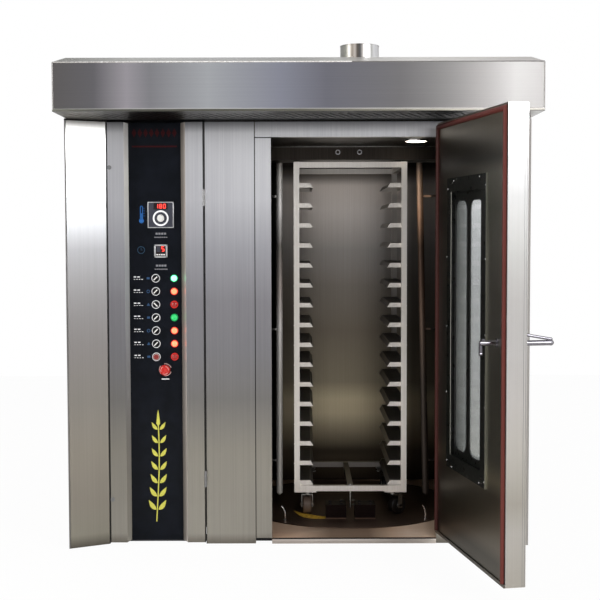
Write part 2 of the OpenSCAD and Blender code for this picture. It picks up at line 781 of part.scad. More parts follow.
module rack_lock_pin() color("silver") at_axis() translate([0, lock_y, 0]) {
    low = floor_z + 47;
    translate([0, 0, low]) cylinder(r = lock_r, h = rack_z0 + tube + 8 - low);
    translate([0, 0, rack_z0 + tube + clear]) cylinder(r = 9, h = 6);
}

// A swivelling caster's fork: its stem stands in the rack's plate and its wheel trails behind it
module caster_fork(side) at_axis() translate([side * caster_x, -caster_y, 0])
    rotate([0, 0, fork_turn[side > 0 ? 1 : 0]]) {
        top = rack_z0 - caster_plate_t - clear;
        difference() {
            union() {
                translate([-fork_outer, -20, fork_top - fork_t]) cube([2 * fork_outer, trail + 32, fork_t]);
                fork_cheeks(trail - 14, trail + 12);
            }
            translate([-fork_outer - eps, trail, wheel_axis_z]) rotate([0, 90, 0])
                cylinder(r = axle_r + running, h = 2 * fork_outer + 2 * eps);
        }
        translate([0, 0, fork_top - eps]) cylinder(r = 20, h = top - fork_top + eps);
        translate([0, 0, top - eps]) cylinder(r = swivel_r, h = caster_plate_t + clear);
    }

module caster_fork_left() color("silver") caster_fork(-1);
module caster_fork_right() color("silver") caster_fork(1);

// A swivelling caster's wheel carries its axle; a fixed caster's wheel turns on the fork's axle
module wheel_body(axle) difference() {
    union() {
        translate([-wheel_w / 2, 0, 0]) rotate([0, 90, 0]) rotate_extrude($fn = 64)
            polygon([[0, 0], [wheel_r - 3, 0], [wheel_r, 4], [wheel_r, wheel_w - 4], [wheel_r - 3, wheel_w],
                [0, wheel_w]]);
        if (axle) translate([-fork_outer - 6, 0, 0]) rotate([0, 90, 0])
            cylinder(r = axle_r, h = 2 * fork_outer + 12);
    }
    if (!axle) translate([-wheel_w, 0, 0]) rotate([0, 90, 0]) cylinder(r = axle_r + running, h = 2 * wheel_w);
}

module front_wheel(side) at_axis() translate([side * caster_x, -caster_y, wheel_axis_z])
    rotate([0, 0, fork_turn[side > 0 ? 1 : 0]]) translate([0, trail, 0]) wheel_body(true);

module rear_wheel(side) at_axis() translate([side * caster_x, caster_y, wheel_axis_z]) wheel_body(false);

module caster_wheel_front_left() color("black") front_wheel(-1);
module caster_wheel_front_right() color("black") front_wheel(1);
module caster_wheel_rear_left() color("black") rear_wheel(-1);
module caster_wheel_rear_right() color("black") rear_wheel(1);

// ---------- oven door ----------
module window_hole(y0, y1, grow) {
    b = window_border - grow;
    block([window_x0 + b, y0, window_z0 + b], [-window_s0 - b, y1, window_z1 - b]);
}

module door_shell() color(steel) on_door() {
    difference() {
        block([-door_w, 0, door_z0], [0, door_t - liner_t - clear, door_z1]);
        block([-door_w + skin_t, skin_t, door_z0 + skin_t], [-skin_t, door_t, door_z1 - skin_t]);
        window_hole(-eps, door_t, 0);
        translate([spindle_x, -eps, spindle_z]) rotate([-90, 0, 0])
            cylinder(r = spindle_r + running, h = door_t);
    }
    for (z = door_hinge_z) difference() {
        union() {
            translate([-120, -8, z - knuckle_h / 2]) cube([120 + hinge_off, 8, knuckle_h]);
            translate([hinge_off, -hinge_off, z - knuckle_h / 2]) cylinder(r = knuckle_r, h = knuckle_h);
        }
        translate([hinge_off, -hinge_off, z - knuckle_h])
            cylinder(r = hinge_pin_r + running, h = 2 * knuckle_h);
    }
}

module door_liner() color(dark) on_door() {
    difference() {
        block([-door_w, door_t - liner_t, door_z0], [0, door_t, door_z1]);
        window_hole(0, door_t + eps, 0);
        translate([spindle_x, 0, spindle_z]) rotate([-90, 0, 0])
            cylinder(r = spindle_r + running, h = 2 * door_t);
    }
    block([-door_w, door_t - liner_t, door_z0], [0, door_t + hem_t, door_z0 + hem_h]);
}

// Half-round seal along the top and both sides of the door's inner face
module door_gasket() color("brown") on_door() {
    r = gasket_w / 2;
    proud = door_gap - 1;
    x = [-door_w + gasket_in + r, -gasket_in - r];
    z0 = door_z0 + hem_h;
    z1 = door_z1 - gasket_in - r;
    y = door_t + proud - r;
    difference() {
        union() {
            rod([x[0], y, z1], [x[1], y, z1], r);
            block([x[0], door_t, z1 - r], [x[1], y, z1 + r]);
            for (i = [0, 1]) {
                rod([x[i], y, z0], [x[i], y, z1], r);
                block([x[i] - r, door_t, z0], [x[i] + r, y, z1 + r]);
                translate([x[i], y, z1]) sphere(r = r);
            }
        }
        block([-door_w - eps, 0, door_z0 - eps], [eps, door_t, door_z1 + eps]);
    }
}

// A pane's opening with round corners, cut along Y
module light_hole(x, w) {
    z0 = window_z0 + window_border + light_foot;
    z1 = window_z1 - window_border - light_head;
    block([x + light_r, 0, z0], [x + w - light_r, 2 * door_t, z1]);
    block([x, 0, z0 + light_r], [x + w, 2 * door_t, z1 - light_r]);
    for (cx = [x + light_r, x + w - light_r], cz = [z0 + light_r, z1 - light_r])
        translate([cx, 0, cz]) rotate([-90, 0, 0]) cylinder(r = light_r, h = 2 * door_t);
}

// Border on the liner, a reveal through it and a mask with two lights before the inner pane
module window_frame() color("black") on_door() difference() {
    union() {
        block([window_x0, door_t, window_z0], [-window_s0, door_t + 6, window_z1]);
        window_hole(mask_y, door_t + eps, 0);
    }
    window_hole(mask_y + mask_t, door_t + 10, -reveal_t);
    for (i = [0, 1])
        light_hole(window_x0 + window_border + light_side + i * (light_w + mullion_w), light_w);
}

module window_glass() color("lightblue") on_door() for (y = [pane_back, door_t - pane_back])
    block([window_x0 + window_border, y - pane_t / 2, window_z0 + window_border],
        [-window_s0 - window_border, y + pane_t / 2, window_z1 - window_border]);

// Loop handle outside, spindle through the leaf, and a knob inside that hooks behind the frame
module door_handle() color("silver") on_door() translate([spindle_x, 0, spindle_z]) {
    end = -handle_out + loop_r;
    tip = [0, end, 11];
    high = [0, -8, loop_rise - 4];
    knee = [0, -34, loop_rise - 5];
    low_tip = [0, end, -3];
    translate([0, -8, 0]) rotate([-90, 0, 0]) cylinder(r = spindle_r, h = 8 + cam_y + cam_t);
    translate([0, -10, 10]) rotate([-90, 0, 0]) cylinder(r = 27, h = 10 - clear);
    rod([0, -8, -3], low_tip, grip_r);
    translate(low_tip) sphere(r = grip_r + swell);
    rod(high, knee, loop_r);
    rod(knee, tip, loop_r);
    translate(knee) sphere(r = loop_r + swell);
    translate(tip) sphere(r = loop_r + swell);
    translate([0, door_t + clear, 0]) rotate([-90, 0, 0]) cylinder(r = 17, h = 6);
    translate([0, door_t + 1, 0]) rotate([-90, 0, 0]) cylinder(r = grip_r, h = cam_y + cam_t - door_t - 4);
    translate([-6, cam_y, -cam_reach]) cube([12, cam_t, cam_reach]);
    translate([0, cam_y, -cam_reach]) rotate([-90, 0, 0]) cylinder(r = 8, h = cam_t);
    translate([-5, cam_y - 12, grip_r - 3]) cube([10, 12, 9]);
}

// ---------- control column door ----------
control_holes = concat([for (i = [0 : 6]) [switch_x, switch_z[i]]], [[stop_x, stop_z], [dial_x, dial_z]]);

module control_door() color(steel) difference() {
    x0 = control_x0 + seam;
    x1 = control_x1 - seam / 2;
    step = control_hinge_h / 3;
    back = front_y + recess_d;
    union() {
        translate([0, 0, control_z0]) folded([[x0, front_y + flange], [x0, front_y], [recess_x0, front_y],
            [panel_x0, back], [panel_x1, back], [recess_x1, front_y], [x1, front_y], [x1, front_y + flange]],
            skin_t, control_z1 - control_z0);
        for (z = control_hinge_z) column_knuckle(z, 1, 1) {
            cylinder(r = control_knuckle_r - clear, h = step - clear);
            translate([-control_knuckle_r - 4, 0, 0])
                cube([control_knuckle_r + 4, control_knuckle_r + eps, step - clear]);
        }
    }
    for (z = control_hinge_z) translate([control_x1, control_pin_y, z - control_hinge_h / 2])
        cylinder(r = control_pin_r + running, h = control_hinge_h);
    for (p = control_holes) translate([p[0], 0, p[1]]) rotate([90, 0, 0])
        cylinder(r = stem_r + running, h = front_reach);
    for (z = latch_z) translate([latch_x, 0, z]) rotate([90, 0, 0])
        cylinder(r = latch_r + running, h = front_reach + eps);
}

module control_panel() color("black") difference() {
    union() {
        block([panel_x0, panel_y, control_z0], [panel_x1, panel_y + panel_t, control_z1]);
        for (i = [0 : 6]) on_panel(switch_x, switch_z[i]) cylinder(r = bezel_r, h = bezel_h);
        on_panel(stop_x, stop_z) cylinder(r = bezel_r, h = bezel_h);
    }
    for (i = [0 : 6]) on_panel(switch_x, switch_z[i]) cylinder(r = knob_r + 0.5, h = bezel_h + eps);
    on_panel(stop_x, stop_z) cylinder(r = knob_r + 0.5, h = bezel_h + eps);
    for (p = control_holes) translate([p[0], panel_y + panel_t + eps, p[1]]) rotate([90, 0, 0])
        cylinder(r = stem_r + running, h = panel_t + 2 * eps);
}

module instrument(side) difference() {
    rim = 4;
    translate([-side / 2, -side / 2, 0]) cube([side, side, controller_t]);
    translate([rim - side / 2, rim - side / 2, controller_t - 1])
        cube([side - 2 * rim, side - 2 * rim, 1 + eps]);
}

module panel_instruments() color("dimgray") {
    difference() {
        on_panel(controller_x, controller_z) instrument(controller_side);
        on_panel(dial_x, dial_z) translate([0, 0, -eps]) cylinder(r = stem_r + running, h = 20);
    }
    on_panel(timer_x, timer_z) instrument(timer_side);
}

module stem(height) translate([0, 0, -stem_len]) cylinder(r = stem_r, h = stem_len + height);

module temperature_knob() color("white") on_panel(dial_x, dial_z) {
    base = controller_t + clear;
    stem(base + 1);
    translate([0, 0, base]) cylinder(r = dial_r, h = 6);
    translate([0, 0, base + 6]) cylinder(r1 = dial_r - 2, r2 = dial_r - 4, h = 10);
    translate([-3, -dial_r, base + 6]) cube([6, 2 * dial_r - 2, 12]);
}

module indicator_lamps() color("red") for (i = [0 : 6]) on_panel(lamp_x, switch_z[i]) {
    rotate_extrude() polygon([[0, 0], [lens_r + 3, 0], [lens_r + 3, 2], [lens_r, 4], [lens_r, 6],
        [lens_r - 3, 9], [0, 10.5]]);
}

module selector(i) on_panel(switch_x, switch_z[i]) {
    stem(1);
    translate([0, 0, clear]) cylinder(r = knob_r, h = 7);
    rotate([0, 0, selector_turn[i]]) translate([-3.5, -knob_r + 1, clear + 6]) cube([7, 2 * knob_r - 2, 9]);
}

module selector_1() color("black") selector(0);
module selector_2() color("black") selector(1);
module selector_3() color("black") selector(2);
module selector_4() color("black") selector(3);
module selector_5() color("black") selector(4);
module selector_6() color("black") selector(5);

module start_button() color("red") on_panel(switch_x, switch_z[6]) {
    stem(6);
    translate([0, 0, 5]) cylinder(r = knob_r, h = 5);
}

module stop_button() color("red") on_panel(stop_x, stop_z) {
    stem(8);
    rotate_extrude() polygon([[0, 6], [knob_r - 2, 6], [knob_r - 2, 14], [stop_r, 17], [stop_r, 23],
        [stop_r - 5, 28], [0, 30]]);
}

// Quarter-turn lock: a slotted head on the strip and a cam behind it, hanging down when unlocked
module quarter_latch(z) translate([latch_x, front_y, z]) {
    cam_t = 3;
    difference() {
        translate([0, -4, 0]) rotate([-90, 0, 0]) cylinder(r = latch_r + 3, h = 4 - clear);
        translate([-1, -5, -latch_r]) cube([2, 3, 2 * latch_r]);
    }
    translate([0, -1, 0]) rotate([-90, 0, 0]) cylinder(r = latch_r, h = flange + 3);
    translate([-latch_r, flange + 1.5, -latch_reach]) cube([2 * latch_r, cam_t, latch_reach]);
}

module upper_latch() color("dimgray") quarter_latch(latch_z[1]);
module lower_latch() color("dimgray") quarter_latch(latch_z[0]);

// ---------- what is drawn ----------
base_frame();
chamber_floor();
left_side_panel();
right_side_panel();
rear_panel();
roof_panel();
front_column_panel();
hinge_column_panel();
door_frame();
chamber_front_wall();
chamber_left_wall();
chamber_right_wall();
chamber_rear_wall();
chamber_ceiling();
insulation();
ceiling_baffle();
guide_bars();
chamber_lamp();
drive_gearmotor();
drive_roller();
hood_shell();
hood_grille();
flue_spigot();
fan_motor();
circulation_fan();
heating_elements();
steam_generator();
electrical_plate();
hinge_brackets();
turntable_disc();
rack_frame();
tray_runners();
rack_lock_pin();
caster_fork_left();
caster_fork_right();
caster_wheel_front_left();
caster_wheel_front_right();
caster_wheel_rear_left();
caster_wheel_rear_right();
door_shell();
door_liner();
door_gasket();
window_frame();
window_glass();
door_handle();
control_door();
control_panel();
panel_instruments();
temperature_knob();
indicator_lamps();
selector_1();
selector_2();
selector_3();
selector_4();
selector_5();
selector_6();
start_button();
stop_button();
upper_latch();
lower_latch();
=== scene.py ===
"""Rotating rack oven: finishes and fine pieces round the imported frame."""

import json
import math

import bmesh
import bpy
from mathutils import Matrix, Vector


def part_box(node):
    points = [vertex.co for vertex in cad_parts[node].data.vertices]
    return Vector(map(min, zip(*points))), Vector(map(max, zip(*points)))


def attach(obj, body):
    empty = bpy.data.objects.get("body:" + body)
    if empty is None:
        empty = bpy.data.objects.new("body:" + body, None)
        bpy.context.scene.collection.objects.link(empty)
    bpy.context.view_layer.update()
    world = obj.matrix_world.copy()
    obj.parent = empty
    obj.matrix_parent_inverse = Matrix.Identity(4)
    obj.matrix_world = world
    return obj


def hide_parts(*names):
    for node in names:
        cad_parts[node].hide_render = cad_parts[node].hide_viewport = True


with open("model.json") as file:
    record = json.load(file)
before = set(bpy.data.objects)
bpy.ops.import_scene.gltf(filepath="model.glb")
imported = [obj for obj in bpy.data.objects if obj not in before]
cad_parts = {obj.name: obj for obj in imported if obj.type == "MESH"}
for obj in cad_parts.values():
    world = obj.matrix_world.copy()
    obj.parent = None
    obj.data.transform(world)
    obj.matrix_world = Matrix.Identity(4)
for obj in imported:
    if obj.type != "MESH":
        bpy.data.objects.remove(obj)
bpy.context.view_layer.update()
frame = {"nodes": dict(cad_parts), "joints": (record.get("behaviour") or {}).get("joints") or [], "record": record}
nodes = frame["nodes"]


def mm(*values):
    """Millimetres to Blender's metres."""
    return values[0] / 1000 if len(values) == 1 else Vector([v / 1000 for v in values])


# ---------- materials ----------
def linear(colour):
    """An sRGB hex colour as linear RGBA."""
    parts = [int(colour[i:i + 2], 16) / 255 for i in (1, 3, 5)]
    return [p / 12.92 if p <= 0.04045 else ((p + 0.055) / 1.055) ** 2.4 for p in parts] + [1]


def add(tree, kind, inputs=None, **settings):
    """Adds a node, sets its settings, and fills or links its inputs."""
    node = tree.nodes.new(kind)
    for name, value in settings.items():
        setattr(node, name, value)
    for key, value in (inputs or {}).items():
        if isinstance(value, bpy.types.NodeSocket):
            tree.links.new(value, node.inputs[key])
        else:
            node.inputs[key].default_value = value
    return node


def finish(name, colour, metallic=0.0, roughness=0.5, **sockets):
    """A material of one even finish. Returns the material, its tree and its shader."""
    material = bpy.data.materials.new(name)
    material.use_nodes = True
    tree = material.node_tree
    shader = tree.nodes["Principled BSDF"]
    shader.inputs["Base Color"].default_value = linear(colour)
    shader.inputs["Metallic"].default_value = metallic
    shader.inputs["Roughness"].default_value = roughness
    for key, value in sockets.items():
        shader.inputs[key.replace("_", " ")].default_value = value
    return material, tree, shader


def ramp(tree, factor, stops):
    """A colour ramp with (position, hex colour) stops."""
    node = add(tree, "ShaderNodeValToRGB", {"Fac": factor})
    elements = node.color_ramp.elements
    while len(elements) < len(stops):
        elements.new(0.5)
    for element, (position, colour) in zip(elements, stops):
        element.position = position
        element.color = linear(colour)
    return node.outputs["Color"]


def object_pattern(tree, scale, location=(0, 0, 0)):
    """Object coordinates through a Mapping node, in cycles per metre along each axis."""
    place = add(tree, "ShaderNodeTexCoord")
    return add(tree, "ShaderNodeMapping",
               {"Vector": place.outputs["Object"], "Scale": scale, "Location": location}).outputs["Vector"]


def surfaced(name, light, dark, metallic, roughness, size, depth=0.0001, **sockets):
    """A finish with slightly uneven colour, gloss and height, from noise of that size in millimetres."""
    material, tree, shader = finish(name, light, metallic, roughness, **sockets)
    noise = add(tree, "ShaderNodeTexNoise",
                {"Vector": object_pattern(tree, [1 / mm(size)] * 3), "Scale": 1.0, "Detail": 4.0})
    colour = ramp(tree, noise.outputs["Fac"], [(0.32, dark), (0.68, light)])
    tree.links.new(colour, shader.inputs["Base Color"])
    gloss = add(tree, "ShaderNodeMapRange", {"Value": noise.outputs["Fac"], "From Min": 0.3, "From Max": 0.7,
                                             "To Min": roughness * 0.85, "To Max": min(1, roughness * 1.25)})
    tree.links.new(gloss.outputs[0], shader.inputs["Roughness"])
    bump = add(tree, "ShaderNodeBump", {"Height": noise.outputs["Fac"], "Distance": depth, "Strength": 0.5})
    tree.links.new(bump.outputs["Normal"], shader.inputs["Normal"])
    return material


def along(tree, axis, stops):
    """Colours along one axis of the object, from (millimetres, hex colour) stops."""
    place = add(tree, "ShaderNodeTexCoord")
    split = add(tree, "ShaderNodeSeparateXYZ", {0: place.outputs["Object"]})
    low, high = stops[0][0], stops[-1][0]
    share = add(tree, "ShaderNodeMapRange", {"Value": split.outputs[axis.upper()], "From Min": mm(low),
                                             "From Max": mm(high)})
    return ramp(tree, share.outputs[0], [((at - low) / (high - low), colour) for at, colour in stops])


def grained(name, light, dark, grain, roughness=0.3, depth=0.0004, sweeps=(), across=6, fade=None,
            metallic=1.0, **sockets):
    """Rolled or drawn stock with a long grain: on stainless sheet, the soft streaks of a brushing belt.

    The real grain is about 0.2 mm wide. It is drawn wider, across millimetres, so that it shows. Each
    sweep is painted light and shade along one axis: (axis, stops). A fade holds two of them: the first
    is black where the second stays away and white where it tells."""
    material, tree, shader = finish(name, light, metallic=metallic, roughness=roughness, **sockets)
    wide, long = 1 / mm(across), 1 / mm(900)
    scale = [long if axis == grain else wide for axis in "xyz"]
    streaks = add(tree, "ShaderNodeTexNoise",
                  {"Vector": object_pattern(tree, scale), "Scale": 1.0, "Detail": 4.0, "Roughness": 0.65})
    cloud = add(tree, "ShaderNodeTexNoise",
                {"Vector": object_pattern(tree, (1.1, 1.1, 0.7)), "Scale": 1.6, "Detail": 1.0})
    mixed = add(tree, "ShaderNodeMath", {0: streaks.outputs["Fac"], 1: cloud.outputs["Fac"]}, operation="ADD")
    half = add(tree, "ShaderNodeMath", {0: mixed.outputs[0], 1: 0.5}, operation="MULTIPLY")
    colour = ramp(tree, half.outputs[0], [(0.3, dark), (0.7, light)])
    for axis, stops in sweeps:
        colour = add(tree, "ShaderNodeMix", {0: 1.0, 6: colour, 7: along(tree, axis, stops)},
                     data_type="RGBA", blend_type="MULTIPLY").outputs[2]
    if fade:
        share, tones = [along(tree, axis, stops) for axis, stops in fade]
        colour = add(tree, "ShaderNodeMix", {0: share, 6: colour, 7: tones},
                     data_type="RGBA", blend_type="MULTIPLY").outputs[2]
    tree.links.new(colour, shader.inputs["Base Color"])
    bump = add(tree, "ShaderNodeBump",
               {"Height": streaks.outputs["Fac"], "Distance": depth, "Strength": 0.35})
    tree.links.new(bump.outputs["Normal"], shader.inputs["Normal"])
    return material


def lit(name, colour, strength):
    """Plastic or glass that glows evenly."""
    return finish(name, colour, 0.0, 0.3, Emission_Color=linear(colour), Emission_Strength=strength)[0]


# Brushed stainless with an upright grain and painted light: pale under the hood, greyer towards the floor,
# slightly darker on the left, and a painted shadow just under the hood
UPRIGHT_STEEL = grained("stainless_brushed_upright", "#ffffff", "#e2e2e4", "z", 0.3, sweeps=[
    ("x", [(-890, "#e9e9e9"), (-800, "#ececec"), (-700, "#ffffff")]),
    ("z", [(5, "#8a857c"), (50, "#b8b4aa"), (220, "#aba79d"), (450, "#a39f95"), (690, "#918f8c"),
           (920, "#a09fa2"), (1150, "#b0aeb2"), (1390, "#d2d2d6"), (1620, "#f8f8fa"), (1930, "#ffffff"),
           (1989, "#84848a")])])
# The same sheet on the canted wings, which catch more light: painted light, pale high up and greyer lower down,
# and a painted shadow under the hood
WING_STEEL = grained("stainless_brushed_wings", "#ffffff", "#ececec", "z", 0.3, sweeps=[
    ("z", [(5, "#6c6860"), (60, "#a09c90"), (220, "#9a948a"), (450, "#989288"), (690, "#8e8a84"),
           (920, "#8e8a88"), (1150, "#8e8c8c"), (1390, "#8e8e90"), (1620, "#b1b3b5"), (1850, "#f4f4f4"),
           (1925, "#ececea"), (1975, "#8c8a88")])])
# The right wing, which only shows beside the open door: a duller, paler copy of the same sheet, with painted light
# for the light it gets there
RIGHT_WING_STEEL = grained("stainless_brushed_right_wing", "#b4b0ac", "#a09c98", "z", 0.5, metallic=0.3)
# The same sheet on the oven door, nearly white where the room lights it
DOOR_STEEL = grained("stainless_brushed_door", "#ffffff", "#f0efee", "z", 0.32, sweeps=[
    ("z", [(90, "#b4b0a8"), (300, "#b6b3ae"), (416, "#a8a49c"), (612, "#bfbcb6"), (808, "#c8c5c2"),
           (1004, "#c2c0be"), (1200, "#b0aeac"), (1400, "#9e9e9c"), (1600, "#8a8a8a"), (1750, "#8c8c8c"),
           (1850, "#c0c0c0")])])
# The same sheet with its grain across, on the hood, with the room's light and dark along it
LEVEL_STEEL = grained("stainless_brushed_level", "#ffffff", "#eeeef0", "x", 0.28, sweeps=[
    ("x", [(-1060, "#827f7c"), (-880, "#8a888a"), (-740, "#cbc6ca"), (-640, "#aeadb0"), (-390, "#dcdfe0"),
           (-80, "#b4b6c2"), (120, "#8f8f97"), (440, "#8c8a8a"), (612, "#9a9896"), (785, "#a9a6a4"),
           (930, "#b1afad"), (1060, "#8f8d8b")])])
# The hood's bevel, which faces the ceiling: painted paler than the front, with painted light and shade along it
BEVEL_STEEL = grained("stainless_brushed_bevel", "#ffffff", "#f4f4f4", "x", 0.4, sweeps=[
    ("x", [(-1060, "#a0a09a"), (-700, "#c8c8c4"), (-300, "#c4c4c2"), (0, "#b4b4b0"), (500, "#e0deda"),
           (1060, "#d4d0cc")])])
# Splayed sides of the recess: painted light on the left one, pale and brightest high up, and painted shade on the
# right one, warm grey and darker further in
LEFT_SPLAY_STEEL = grained("stainless_recess_splay_left", "#ffffff", "#eeecea", "z", 0.6, metallic=0.1,
                           sweeps=[("z", [(10, "#a09c92"), (500, "#8e8a84"), (900, "#9a9a9c"),
                                          (1300, "#b8bcbe"), (1700, "#f4f4f0"), (1980, "#ffffff")])])
RIGHT_SPLAY_STEEL = grained("stainless_recess_splay_right", "#ffffff", "#eeecea", "z", 0.3, metallic=0.4,
                            sweeps=[("y", [(-747, "#e8e0d8"), (-720, "#a8a098"), (-692, "#8c847c")])])
# Stainless on the chamber's rear wall, tinted warm by heat, with painted light and shade: paler where the lamp
# falls, a painted shadow under the baffle and across its middle, painted shade in its corners and at its foot
REAR_WALL_STEEL = grained("stainless_heat_tint_and_painted_light_rear", "#ffffff", "#e8e4de", "z", 0.36, sweeps=[
    ("x", [(-145, "#202020"), (-118, "#585858"), (-100, "#ffffff"), (600, "#ffffff"), (660, "#c0c0c0"),
           (760, "#c0c0c0")]),
    ("z", [(28, "#4a4338"), (200, "#6a6152"), (420, "#c4b89c"), (500, "#c0b498"), (600, "#8c8472"),
           (900, "#7c7468"), (1160, "#8e8880"), (1370, "#aeaaa6"), (1600, "#efe8e2"), (1740, "#fff6ee"),
           (1800, "#a09890"), (1850, "#58534e")])])
# Stainless on the chamber's sides and ceiling, painted nearly black: painted shade inside the chamber, deepest on
# the ceiling
CHAMBER_STEEL = grained("stainless_painted_shade_dark", "#4e4842", "#332f2b", "z", 0.34, sweeps=[
    ("z", [(1915, "#ffffff"), (1924, "#8a8a8e")])])
# Guide bars: drawn stainless bar, bright on the left and browned copper on the right, with painted light and
# shade: painted glints high up, painted shade low down and on the arms by the walls
BAR_STEEL = grained("stainless_drawn_bar", "#ffffff", "#e4deda", "z", 0.55, across=20, metallic=0.6, sweeps=[
    ("x", [(-150, "#404040"), (-122, "#404040"), (-117, "#ffffff"), (656, "#ffffff"), (664, "#484848")]),
    ("z", [(140, "#c8c8c4"), (700, "#d8d8d4"), (1000, "#ffffff"), (1200, "#c8c0bc"), (1400, "#8c8a86"),
           (1600, "#ffffff"), (1750, "#e0e0dc"), (1815, "#84807c")])], fade=[
    ("x", [(-140, "#000000"), (200, "#000000"), (300, "#ffffff"), (680, "#ffffff")]),
    ("z", [(140, "#544a44"), (700, "#5a504a"), (1100, "#7a6658"), (1350, "#8e7464"), (1550, "#dcae8c"),
           (1700, "#e8c4a8"), (1815, "#8a7a70")])])
# Floor plate: heat-tinted copper brown and rougher, trodden grain, with painted light and shade across it: darker
# in the middle, brightest towards the right
FLOOR_STEEL = grained("stainless_floor_worn", "#ffecd8", "#ecc4a4", "x", 0.5, metallic=0.1, across=12,
                      sweeps=[("x", [(-130, "#d8d0ca"), (0, "#d8d0ca"), (150, "#8e867e"), (330, "#90867e"),
                                     (440, "#e4dcd4"), (520, "#ffffff"), (600, "#f4f0ec"),
                                     (644, "#d0c8c0")])])
# Threshold's front: pale, scratched by the rack's wheels
THRESHOLD_STEEL = grained("stainless_threshold_scratched", "#fbf4ec", "#a89c94", "x", 0.5, across=3)
# Turntable disc: the same steel, baked dark, and darker on all that stands above its top face
DISC_STEEL = grained("stainless_turntable_baked", "#9a8070", "#64544a", "x", 0.45, sweeps=[
    ("z", [(20, "#ffffff"), (29, "#ffffff"), (34, "#50505a"), (120, "#4a4a50")])])
# Polished liner of the door, with a painted reflection of the dark room in bands up its height
LINER_STEEL = grained("stainless_polished_liner", "#ffffff", "#eeeae4", "z", 0.3, 0.0002, sweeps=[
    ("z", [(90, "#6a665e"), (160, "#5a564e"), (220, "#807a6e"), (300, "#7c776a"), (420, "#7c766a"),
           (480, "#b4ac96"), (560, "#8c8a80"), (1100, "#9a9890"), (1400, "#949288"), (1560, "#74746a"),
           (1700, "#8c8a80"), (1760, "#5e5c58"), (1900, "#8c8474")])])
# Polished edge of the window frame, a plain grey line
FRAME_EDGE = grained("steel_polished_frame_edge", "#b0b0a4", "#94948a", "z", 0.4, 0.00002)
# Its inner edge, which faces the room: a painted highlight
FRAME_LINE = grained("steel_polished_frame_line", "#f4f2e6", "#d8d6ca", "z", 0.5, 0.00002, metallic=0.4)
# Satin tube and runners of the rack: pale and slightly cream in front, with painted shade further back, darkest
# low down
RACK_STEEL = grained("stainless_satin_rack", "#fffaf4", "#e8e2d8", "z", 0.42, 0.0002, across=4, fade=[
    ("y", [(-310, "#000000"), (-260, "#bcbcbc"), (270, "#ffffff"), (300, "#c8c8c8")]),
    ("z", [(150, "#2e2a26"), (700, "#4a4640"), (1300, "#8c8a88"), (1700, "#d8d6d4"), (1820, "#ffffff")])])
# Folded lip under the hood: the same sheet in shade
HOOD_LIP = grained("stainless_hood_lip", "#ffffff", "#e8e8e2", "x", 0.35, sweeps=[
    ("x", [(-1060, "#6a6a64"), (-880, "#646460"), (-600, "#66665f"), (-300, "#76766e"), (200, "#848278"),
           (700, "#76746e"), (1060, "#787672")])])
# Grille under the hood: slots and sheet both lie in deep shade, save at the ends
GRILLE_STEEL = grained("stainless_grille_shade", "#ffffff", "#e0e0dc", "x", 0.4, sweeps=[
    ("x", [(-1060, "#807c76"), (-900, "#4e4a44"), (-870, "#2c2c2a"), (-800, "#2a2624"), (-560, "#2a2624"),
           (-500, "#1f1f1e"), (-200, "#20201e"), (0, "#2a2a26"), (400, "#383632"), (612, "#24241f"),
           (900, "#605e58"), (1000, "#f0f0f0"), (1060, "#ffffff")])])
# Ground weld line down the hood's corners
HOOD_WELD = grained("stainless_ground_weld", "#8e8c8a", "#6e6c6a", "z", 0.3, 0.0008, across=3)
# Spun flue pipe: painted light and reflections in upright bands
FLUE_STEEL = grained("stainless_spun_flue", "#ffffff", "#f0f0f0", "z", 0.5, across=14, sweeps=[
    ("x", [(183, "#b4b4ae"), (208, "#9a9a90"), (220, "#dcd8d0"), (233, "#7c746a"), (246, "#c8c0b8"),
           (256, "#6c655e"), (268, "#5c5c5c"), (280, "#a8a4a0"), (294, "#ffffff"), (308, "#ffffff"),
           (318, "#b8b8b4"), (330, "#ffffff"), (344, "#ffffff"), (357, "#c8c8c4")])])
# Sheared edge of a sheet, bright where it catches the light
BRIGHT_EDGE = surfaced("stainless_bright_edge", "#f2f0ec", "#d4d0ca", 1.0, 0.25, 12)
# Painted shade: a dark strip for the gap between two folded sheets, and for the shade under the hood
SHADOW_SEAM = surfaced("seam_shadow", "#201f1e", "#121211", 0.0, 0.7, 20, Specular_IOR_Level=0.1)
# Chrome of the door handle, its colour darkened: a painted reflection of the dim side of the room
HANDLE_CHROME = grained("chrome_handle", "#98969c", "#76747a", "x", 0.2, 0.00002, metallic=1.0, across=30)
# Steel of the small hinges and latches, duller than the sheet beside it
DULL_STEEL = grained("stainless_dull_fittings", "#9a9a9a", "#808080", "z", 0.5, across=3)
# Polished chrome: nearly a mirror, with faint smears
CHROME = surfaced("chrome_polished", "#e8e8e8", "#d4d4d6", 1.0, 0.09, 30, 0.00002)
# Zinc plate: silvery with a cloudy spangle
ZINC = surfaced("zinc_plated_steel", "#c6c6c2", "#9a9a96", 1.0, 0.3, 9)
# Satin anodised aluminium of the instruments' frames
SATIN_SILVER = surfaced("aluminium_satin", "#d9dadb", "#bfc0c2", 1.0, 0.34, 5)
# Gloss black acrylic sheet with the faintest orange peel
GLOSS_BLACK = surfaced("acrylic_black_gloss", "#12151c", "#0c0f14", 0.0, 0.2, 60, 0.00005,
                       Specular_IOR_Level=0.1)
